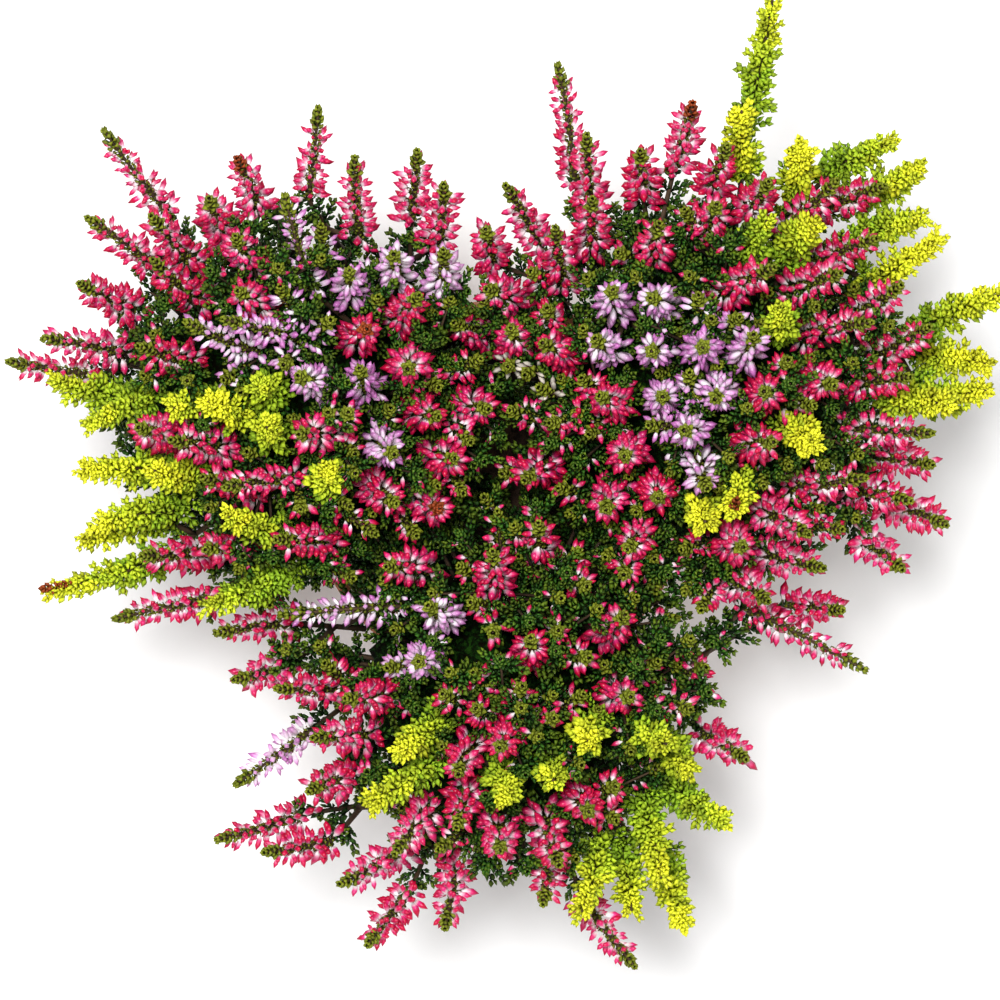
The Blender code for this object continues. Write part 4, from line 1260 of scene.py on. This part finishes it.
def grow_bloom(growth, stem, start_at, rng, settings, fullness, size, finish, bud=BUD):
    """Rings of buds with small leaves between, from a place on a stem up to the tuft at its tip."""
    bloom = stem.length - start_at
    tuft_at = stem.length - max(0.0050, 0.14 * bloom)
    whorls = np.arange(start_at, tuft_at, settings.whorl_step)
    each = settings.whorl_buds
    count = len(whorls) * each
    at = np.repeat(whorls, each) + rng.normal(0.0, 0.0004, count)
    share = np.clip((at - start_at) / bloom, 0.0, 1.0)
    turns = ring_turns(len(whorls), each, math.pi / each) + rng.normal(0.0, 0.32, count)
    leans = graded(rng, share, BUD_LEAN)
    sizes = size * graded(rng, share, BUD_SIZE)
    tone = round_about(rng, rng.uniform(0.0, 0.60), 0.25, count)
    kept = rng.random(count) < fullness
    at, turns, leans, sizes, tone = (values[kept] for values in (at, turns, leans, sizes, tone))
    growth.add_round(stem, SHAPES["bud"], at, turns, leans, sizes, bud, tone, rng.random(len(at)))
    at = np.repeat(whorls + 0.5 * settings.whorl_step, 4)
    turns = ring_turns(len(whorls), 4, math.pi / 4) + 0.4
    leans = 0.75 + rng.normal(0.0, 0.1, len(at))
    growth.add_round(stem, SHAPES["leaf"], at, turns, leans, 0.95, TUFT, 0.5 * rng.random(len(at)))
    grow_tuft(growth, stem, tuft_at, rng, finish)


def grow_spike(growth, spray, rng, settings):
    """A bud spike on its leafy stalk, with the side branches that grow from it."""
    stem, foot_at = spray_stem(spray)
    grow_stalk(growth, stem, foot_at, rng)
    size = LILAC_SIZE if spray["kind"] == "lilac" else 1.0
    upright = abs(stem.ahead[-1][2])
    size = size * (1.0 + UPRIGHT_SWELL * max(0.0, upright - 0.6) / 0.4)
    finish = WITHERED if is_rusty(spray) else TUFT
    grow_bloom(growth, stem, foot_at, rng, settings, BLOOM_FULLNESS, size, finish)
    for tip in spray["offshoots"]:
        side = grow_offshoot(growth, stem, foot_at, tip, rng)
        start_at = side.length - rng.uniform(*BRANCH_BLOOM)
        grow_bloom(growth, side, start_at, rng, settings, rng.uniform(*BRANCH_FULLNESS), 0.95, TUFT)
    for tip in spray["dry"]:
        side = grow_offshoot(growth, stem, foot_at, tip, rng)
        start_at = side.length - DRY_BLOOM
        grow_bloom(growth, side, start_at, rng, settings, DRY_FULLNESS, 0.8, TUFT, DRY)
    grow_shoots(growth, spray, stem, foot_at, rng)


def grow_plume(growth, spray, rng, settings):
    """A golden plume: short feathery side shoots all along its stem."""
    stem, foot_at = spray_stem(spray)
    grow_stalk(growth, stem, 0.9 * foot_at, rng)
    rusty = RUSTY_SHARE if is_rusty(spray) else 0.0
    grow_feather(growth, stem, foot_at - 0.005, rng, settings, rusty)
    for tip in spray["offshoots"]:
        side = grow_offshoot(growth, stem, foot_at, tip, rng)
        grow_feather(growth, side, side.length - rng.uniform(*BRANCH_PLUME), rng, settings, 0.0)
    grow_shoots(growth, spray, stem, foot_at, rng)


def grow_shoots(growth, spray, stem, foot_at, rng):
    """Leafy side branches, each with a tuft at its tip and at most a few scattered buds."""
    for tip in spray["shoots"]:
        side = offshoot_stem(stem, foot_at, tip)
        growth.tube(side, SHOOT_RADII, sides=4, tone=rng.random())
        stations = side.length - np.arange(SHOOT_TUFT, min(SHOOT_LEAVES, side.length), SHOOT_SPRIG_STEP)
        turns = ring_turns(len(stations), 2, PAIR_TURN) + rng.uniform(0.0, 6.3)
        grow_sprigs(growth, side, np.repeat(stations, 2), turns, rng)
        finish = TUFT if rng.random() < 0.5 else LEAF
        grow_tuft(growth, side, side.length - SHOOT_TUFT, rng, finish)
        if spray["kind"] != "golden":
            count = rng.integers(2, 5)
            at = side.length - rng.uniform(0.003, 0.013, count)
            turns = rng.uniform(0.0, 6.3, count)
            leans = rng.uniform(0.9, 1.5, count)
            sizes = rng.uniform(0.75, 1.05, count)
            tone = rng.uniform(0.3, 1.0, count)
            growth.add_round(side, SHAPES["bud"], at, turns, leans, sizes, BUD, tone, rng.random(count))


def grow_feather(growth, stem, start_at, rng, settings, rusty):
    """The coloured side shoots of a plume, from a place on its stem to its tip."""
    stations = np.arange(start_at, stem.length - 0.001, settings.branchlet_step)
    count = 3 * len(stations)
    at = np.repeat(stations, 3) + rng.normal(0.0, 0.0003, count)
    share = np.clip((at - start_at) / (stem.length - start_at), 0.0, 1.0)
    turns = ring_turns(len(stations), 3, 1.05) + rng.normal(0.0, 0.2, count)
    leans = graded(rng, share, BRANCHLET_LEAN)
    sizes = graded(rng, share**3, BRANCHLET_SIZE)
    tone = round_about(rng, 0.5, 0.25, count)
    place = np.clip(share + rng.normal(-0.05, 0.18) + rng.normal(0.0, 0.12, count), 0.0, 1.0)
    pick = rng.integers(0, len(SHAPES["branchlets"]), count)
    finish = np.where((share > 0.85) & (rng.random(count) < rusty), WITHERED, BUD)
    facts = (at, turns, leans, sizes, finish, tone, place)
    growth.add_mixed(stem, SHAPES["branchlets"], pick, *facts, out=0.0003)


def is_rusty(spray):
    return any(math.dist(spray["pixel"], tip) < NEAR_PIXELS for tip in RUSTY_TIPS)


SPRAYS = add_offshoots(spread_sprays(read_plan()))


def grow_bunches(scene, kind):
    """One piece for each bunch of one kind, which replaces that bunch's solid."""
    make_shapes(scene)
    finishes = make_materials(scene)
    if kind == "golden":
        grow, settings, word, leaf = grow_plume, scene.heather_leaves, "plumes", "lime"
    else:
        grow, settings, word, leaf = grow_spike, scene.heather_spikes, "spikes", "leaf"
    materials = [finishes[name] for name in (kind, "tuft", leaf, "bark", "rust", "dry")]
    bunches = {}
    for spray in SPRAYS:
        if spray["kind"] == kind:
            bunches.setdefault(spray["bunch"], []).append(spray)
    for name, members in bunches.items():
        growth = Growth()
        for spray in members:
            grow(growth, spray, np.random.default_rng(spray["index"]), settings)
        settle(growth.make(f"{name}_{word}", materials), name)


def settle(piece, node):
    """Makes a finished piece part of the object, in the place of its solid."""
    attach(piece, BODY)
    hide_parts(node)


# Bushes


def lean_to_foot(crown, heights):
    """How far a level of the heart's lower half is shifted towards where the bush stands in the soil."""
    middle_x, middle_y = over_plan(*CROWNS[crown])
    share = (np.maximum(0.0, HEART_MIDDLE - heights) / (HEART_MIDDLE - SOIL_TOP)) ** LEAN_POWER
    way = np.array((STEM_FEET[crown][0] - middle_x, STEM_FEET[crown][1] - middle_y, 0.0))
    return share[:, None] * way


def heart_shape(crown):
    """The heart of a bush, where its twigs are too dense to see through; its dark finish is painted
    shade.
    """
    thing = begin(bpy.ops.mesh.primitive_ico_sphere_add, subdivisions=HEART_DETAIL, radius=1.0)
    shape = finished_shape(thing, 1.0)
    ways = unit(shape.points)
    lump = HEART_LUMP * lumps(ways, scale=2.6, seed=3.0)
    lump += HEART_KNOBS * lumps(ways, scale=13.0, seed=7.0)
    size = np.stack([HEART_RADIUS + lump, HEART_RADIUS + lump, HEART_HALF_HEIGHT + lump], axis=1)
    points = heart_middle(crown) + ways * (size - HEART_SINK)
    points += lean_to_foot(crown, points[:, 2])
    return points, shape.faces


def envelope(crown, way):
    """How far from the heart's middle the leaves reach in a direction."""
    middle = heart_middle(crown)
    least, most = TWIG_REACH
    for reach in np.linspace(most, least, 40):
        place = middle + way * reach
        out = math.hypot(place[0] - middle[0], place[1] - middle[1])
        if place[2] < dome_height(place[0], place[1], crown) - TWIG_COVER and out < DENSE_RADIUS:
            return reach
    return least


def grow_wood(growth, crown):
    """The trunk in the soil and the woody stems that rise from it into the heart."""
    x, y = STEM_FEET[crown]
    middle = heart_middle(crown)
    root = np.array((x, y, SOIL_TOP - TRUNK_DEPTH))
    collar = np.array((x, y, SOIL_TOP + COLLAR_HEIGHT))
    trunk = Stem(np.linspace(root, collar, len(TRUNK_RADII)))
    growth.tube(trunk, TRUNK_RADII, sides=12, tone=0.4, distances=trunk.marks)
    low = collar - np.array((0.0, 0.0, 0.008))
    steps = np.linspace(0.0, 1.0, 8)[:, None]
    sag = np.array((0.0, 0.0, -0.006)) * 4 * steps * (1 - steps)
    for number in range(WOODY_STEMS):
        turn = 2 * math.pi * number / WOODY_STEMS + 0.5
        out = np.array((math.cos(turn), math.sin(turn), -0.25 if number % 2 else 0.1))
        goal = middle + 0.8 * out * np.array((HEART_RADIUS, HEART_RADIUS, HEART_HALF_HEIGHT))
        stem = Stem(low + (goal - low) * steps + sag)
        radii = np.linspace(*WOODY_STEM_RADII, len(steps))
        growth.tube(stem, radii, sides=8, tone=0.5, distances=stem.marks)


def grow_twigs(growth, crown, rng, count):
    """Leafy twigs all over the heart, from its skin out to the bush's own outline."""
    golden_turn = math.pi * (3 - math.sqrt(5))
    highest, lowest = TWIG_HEIGHTS
    middle = heart_middle(crown)
    for number in range(count):
        height = highest - (highest - lowest) * (number + 0.5) / count
        flat = math.sqrt(1 - height**2)
        turn = golden_turn * number + rng.normal(0.0, 0.1)
        way = np.array((flat * math.cos(turn), flat * math.sin(turn), height))
        skin = np.linalg.norm(heart_surface(crown, middle + way) - middle)
        start = middle + way * (skin - TWIG_SINK)
        start = start + lean_to_foot(crown, start[2:3])[0]
        reach = max(0.010, envelope(crown, way) - skin) * rng.uniform(0.55, 1.0)
        goal = start + unit(way + np.array((0.0, 0.0, 0.35))) * (reach + TWIG_SINK)
        steps = np.linspace(0.0, 1.0, 6)[:, None]
        bend = unit(rng.normal(0.0, 1.0, 3)) * 0.05 * reach
        stem = Stem(start + (goal - start) * steps + bend * 4 * steps * (1 - steps))
        growth.tube(stem, np.linspace(*TWIG_RADII, 4), sides=4, tone=rng.random())
        stations = np.arange(0.005, stem.length + 0.001, TWIG_SPRIG_STEP)
        turns = rng.uniform(0.0, 6.3) + np.arange(len(stations)) * PAIR_TURN
        turns = np.repeat(turns, 2) + np.tile((0.0, 2.0), len(stations))
        grow_sprigs(growth, stem, np.minimum(np.repeat(stations, 2), stem.length), turns, rng)


def grow_bush(scene, crown, seed):
    growth = Growth()
    points, faces = heart_shape(crown)
    # The heart takes the first finish, the painted shade
    growth.put(points, faces, BUD, tone=0.2)
    grow_wood(growth, crown)
    grow_twigs(growth, crown, np.random.default_rng(seed), scene.heather_leaves.twigs)
    finishes = make_materials(scene)
    names = ("shade", "tuft", "leaf", "bark", "rust")
    piece = growth.make(f"bush_{crown}_foliage", [finishes[name] for name in names])
    settle(piece, f"bush_{crown}")


# Pot and soil


def wall_radius(height):
    """The outer radius of the pot's tapered wall."""
    full = POT_RIM_RADIUS - RIM_BAND_STEP
    return POT_BASE_RADIUS + (full - POT_BASE_RADIUS) * height / POT_HEIGHT


def rounding(radius, height, steps):
    """Points round a corner of the pot, each a step in from a radius and a step up from a height."""
    return [(radius + RIM_ROUNDING * along, height + RIM_ROUNDING * up) for along, up in steps]


def pot_profile():
    """The pot's wall as (radius, height) from the edge of its base, over the rim, to its inner floor."""
    band = POT_HEIGHT - RIM_BAND_HEIGHT
    inner = POT_RIM_RADIUS - RIM_BAND_STEP - POT_WALL
    inner_foot = wall_radius(POT_FLOOR) - POT_WALL
    turns = [math.radians(angle) for angle in (0, 30, 60, 90)]
    turns = [(1 - math.sin(turn), 1 - math.cos(turn)) for turn in turns]
    foot = rounding(POT_BASE_RADIUS, 0.0, [(-near, far) for near, far in turns])
    wall = [(wall_radius(band * share), band * share) for share in (0.25, 0.5, 0.75, 0.97, 1.0)]
    lip = [
        (POT_RIM_RADIUS - 0.001 - RIM_ROUNDING, band),
        (POT_RIM_RADIUS - 0.0015, band + 0.3 * RIM_ROUNDING),
        (POT_RIM_RADIUS - 0.001, band + RIM_ROUNDING),
    ]
    over = rounding(POT_RIM_RADIUS, POT_HEIGHT, [(-far, -near) for near, far in turns])
    under = rounding(inner, POT_HEIGHT, [(near, -far) for near, far in turns])
    inside = [(wall_radius(height) - POT_WALL, height) for height in (0.08, 0.04, POT_FLOOR + 0.004)]
    floor = [(inner_foot - 0.001, POT_FLOOR + 0.001), (inner_foot - 0.004, POT_FLOOR)]
    return foot + wall + lip + over + under + inside + floor


def draw_up(rise, height, size):
    """Extrudes the selected face upwards and widens it where it then stands."""
    bpy.ops.mesh.extrude_region_move(TRANSFORM_OT_translate={"value": (0.0, 0.0, rise)})
    bpy.ops.transform.resize(value=(size, size, 1.0), center_override=(0.0, 0.0, height))


def model_pot(settings):
    """The pot drawn up from its base disc, ring by ring, then its drain holes cut."""
    profile = pot_profile()
    radius, height = profile[0]
    disc = {"vertices": settings.sides, "radius": radius, "fill_type": "NGON"}
    pot = begin(bpy.ops.mesh.primitive_circle_add, **disc)
    bpy.ops.mesh.select_all(action="SELECT")
    for next_radius, next_height in profile[1:]:
        draw_up(next_height - height, next_height, next_radius / radius)
        radius, height = next_radius, next_height
    bpy.ops.mesh.inset(thickness=0.02)
    bpy.ops.mesh.select_all(action="SELECT")
    bpy.ops.mesh.normals_make_consistent(inside=False)
    bpy.ops.object.mode_set(mode="OBJECT")
    for number in range(DRAIN_COUNT):
        turn = 2 * math.pi * (number + 0.5) / DRAIN_COUNT
        cut_hole(pot, (DRAIN_CIRCLE * math.cos(turn), DRAIN_CIRCLE * math.sin(turn), POT_FLOOR / 2))
    bpy.ops.object.select_all(action="DESELECT")
    pot.select_set(True)
    bpy.ops.object.shade_smooth_by_angle(angle=math.radians(40))
    return pot


def cut_hole(pot, place):
    size = {"vertices": 24, "radius": DRAIN_RADIUS, "depth": 4 * POT_FLOOR}
    drill = begin(bpy.ops.mesh.primitive_cylinder_add, location=place, **size)
    bpy.ops.object.mode_set(mode="OBJECT")
    cut = pot.modifiers.new("drain", "BOOLEAN")
    cut.operation = "DIFFERENCE"
    cut.object = drill
    bpy.context.view_layer.objects.active = pot
    bpy.ops.object.modifier_apply(modifier=cut.name)
    bpy.data.objects.remove(drill, do_unlink=True)


def soil_radius(height):
    return wall_radius(height) - POT_WALL - FIT_GAP


def soil_body(sides):
    """The points and faces of the soil: a disc drawn up to the top, inset in rings and roughened."""
    top, foot = SOIL_TOP - SOIL_DIP, POT_FLOOR + SOIL_CLEARANCE
    radius, foot_radius = soil_radius(top), soil_radius(POT_FLOOR + 0.01)
    disc = {"vertices": sides, "radius": foot_radius, "fill_type": "NGON"}
    soil = begin(bpy.ops.mesh.primitive_circle_add, **disc)
    bpy.ops.mesh.select_all(action="SELECT")
    bpy.ops.transform.translate(value=(0.0, 0.0, foot))
    draw_up(top - POT_FLOOR - SOIL_CLEARANCE, top, radius / foot_radius)
    for _ in range(SOIL_RINGS):
        bpy.ops.mesh.inset(thickness=radius / (SOIL_RINGS + 1.5))
    shape = finished_shape(soil, 1.0)
    points = shape.points
    rough = (points[:, 2] > top - 0.001) & (np.hypot(points[:, 0], points[:, 1]) < radius - 0.001)
    chosen = points[rough]
    rise = SOIL_LUMP * lumps(chosen, SOIL_LUMP_SCALE)
    rise += SOIL_CRUMBLE * lumps(chosen, scale=240.0, seed=5.0)
    points[rough, 2] += rise + 0.0012
    return points, shape.faces


def grow_soil(settings):
    """The body of soil with a crumbly top, and loose crumbs on it."""
    growth = Growth()
    growth.put(*soil_body(settings.sides), 0, tone=0.5)
    rng = np.random.default_rng(SOIL_SEED)
    count = settings.crumbs
    out = (soil_radius(SOIL_TOP - SOIL_DIP) - 0.004) * np.sqrt(rng.random(count))
    turn = rng.random(count) * 2 * math.pi
    places = np.stack([out * np.cos(turn), out * np.sin(turn), np.full(count, SOIL_TOP - 0.001)], axis=1)
    places[:, 2] += SOIL_LUMP * lumps(places, SOIL_LUMP_SCALE)
    ways = unit(rng.normal(0.0, 1.0, (count, 3)) + np.array((0.0, 0.0, 0.5)))
    across = unit(rng.normal(0.0, 1.0, (count, 3)))
    sizes = rng.uniform(*CRUMB_SIZES, count) * 0.7
    growth.add(SHAPES["crumb"], places, ways, across, sizes, 0, rng.random(count))
    return growth


# Stage


def put_in_scene(data, place):
    """A light or a camera as an object of the scene."""
    made = bpy.data.objects.new(data.name, data)
    made.location = place
    bpy.context.scene.collection.objects.link(made)
    return made


def add_light(name, place, target, size, power):
    data = bpy.data.lights.new(name, "AREA")
    data.shape, data.size, data.energy = "SQUARE", size, power
    light = put_in_scene(data, place)
    light.rotation_euler = (Vector(target) - Vector(place)).to_track_quat("-Z", "Y").to_euler()


def make_floor(settings):
    floor = begin(bpy.ops.mesh.primitive_plane_add, size=settings.floor_size)
    bpy.ops.object.mode_set(mode="OBJECT")
    floor.name = "floor"
    floor.data.materials.append(floor_material())


def make_camera(settings):
    """Straight above the crown, so that 1000 pixels are 300 mm at the crown's height."""
    data = bpy.data.cameras.new("camera")
    data.sensor_width = 36.0
    data.lens = data.sensor_width * settings.camera_distance / (1000 * PIXEL)
    data.clip_end = 20.0
    place = (*over_plan(*MIDDLE_PIXEL), settings.crown_height + settings.camera_distance)
    bpy.context.scene.camera = put_in_scene(data, place)


def make_world(settings):
    world = bpy.data.worlds.new("studio")
    world.use_nodes = True
    ground = world.node_tree.nodes["Background"]
    ground.inputs["Color"].default_value = (1.0, 1.0, 1.0, 1.0)
    ground.inputs["Strength"].default_value = settings.sky
    bpy.context.scene.world = world
    bpy.context.scene.view_settings.view_transform = "Standard"
    bpy.context.scene.view_settings.look = "Medium High Contrast"


# Operators


class HEATHER_OT_stage(bpy.types.Operator):
    """Lays the floor and sets up the lights and the camera"""

    bl_idname = "heather.stage"
    bl_label = "Stage"

    def execute(self, context):
        settings = context.scene.heather_stage
        make_floor(settings)
        make_world(settings)
        key, fill = settings.key_power, settings.fill_power
        add_light("key", place=(-0.18, 0.24, 3.2), target=(0.0, 0.0, 0.2), size=0.5, power=key)
        add_light("fill", place=(1.2, -0.9, 2.3), target=(0.0, 0.0, 0.15), size=1.2, power=fill)
        make_camera(settings)
        return {"FINISHED"}


class HEATHER_OT_pot(bpy.types.Operator):
    """Turns the clay pot"""

    bl_idname = "heather.pot"
    bl_label = "Pot"

    def execute(self, context):
        pot = model_pot(context.scene.heather_pot)
        pot.name = "pot_turned"
        pot.data.materials.append(make_materials(context.scene)["clay"])
        settle(pot, "pot")
        return {"FINISHED"}


class HEATHER_OT_soil(bpy.types.Operator):
    """Fills the pot with soil"""

    bl_idname = "heather.soil"
    bl_label = "Soil"

    def execute(self, context):
        make_shapes(context.scene)
        growth = grow_soil(context.scene.heather_pot)
        settle(growth.make("soil_loose", [make_materials(context.scene)["soil"]]), "soil")
        return {"FINISHED"}


class HEATHER_OT_bushes(bpy.types.Operator):
    """Grows the wood, twigs and green leaves of the three bushes"""

    bl_idname = "heather.bushes"
    bl_label = "Bushes"

    def execute(self, context):
        make_shapes(context.scene)
        for number, crown in enumerate(CROWNS):
            grow_bush(context.scene, crown, BUSH_SEED + number)
        return {"FINISHED"}


class HEATHER_OT_pink_spikes(bpy.types.Operator):
    """Grows the bunches of crimson and pink bud spikes"""

    bl_idname = "heather.pink_spikes"
    bl_label = "Pink Spikes"

    def execute(self, context):
        grow_bunches(context.scene, "pink")
        return {"FINISHED"}


class HEATHER_OT_lilac_spikes(bpy.types.Operator):
    """Grows the bunches of lilac bud spikes"""

    bl_idname = "heather.lilac_spikes"
    bl_label = "Lilac Spikes"

    def execute(self, context):
        grow_bunches(context.scene, "lilac")
        return {"FINISHED"}


class HEATHER_OT_golden_plumes(bpy.types.Operator):
    """Grows the bunches of golden leafy plumes"""

    bl_idname = "heather.golden_plumes"
    bl_label = "Golden Plumes"

    def execute(self, context):
        grow_bunches(context.scene, "golden")
        return {"FINISHED"}


class HEATHER_PT_panel(bpy.types.Panel):
    """Lists what can be made of the potted heather"""

    bl_idname = "HEATHER_PT_panel"
    bl_label = "Potted Heather"
    bl_space_type = "VIEW_3D"
    bl_region_type = "UI"
    bl_category = "Heather"

    def draw(self, context):
        for made in STEPS:
            self.layout.operator(made.bl_idname)


STEPS = (
    HEATHER_OT_pot,
    HEATHER_OT_soil,
    HEATHER_OT_bushes,
    HEATHER_OT_pink_spikes,
    HEATHER_OT_lilac_spikes,
    HEATHER_OT_golden_plumes,
    HEATHER_OT_stage,
)
SETTINGS = {
    "heather_spikes": HeatherSpikeSettings,
    "heather_leaves": HeatherLeafSettings,
    "heather_pot": HeatherPotSettings,
    "heather_stage": HeatherStageSettings,
}


def register():
    for made in (*SETTINGS.values(), *STEPS, HEATHER_PT_panel):
        bpy.utils.register_class(made)
    for name, group in SETTINGS.items():
        setattr(bpy.types.Scene, name, PointerProperty(type=group))


def unregister():
    for name in SETTINGS:
        delattr(bpy.types.Scene, name)
    for made in reversed((*SETTINGS.values(), *STEPS, HEATHER_PT_panel)):
        bpy.utils.unregister_class(made)


def main():
    register()
    bpy.ops.heather.pot()
    bpy.ops.heather.soil()
    bpy.ops.heather.bushes()
    bpy.ops.heather.pink_spikes()
    bpy.ops.heather.lilac_spikes()
    bpy.ops.heather.golden_plumes()
    bpy.ops.heather.stage()


if __name__ == "__main__":
    main()
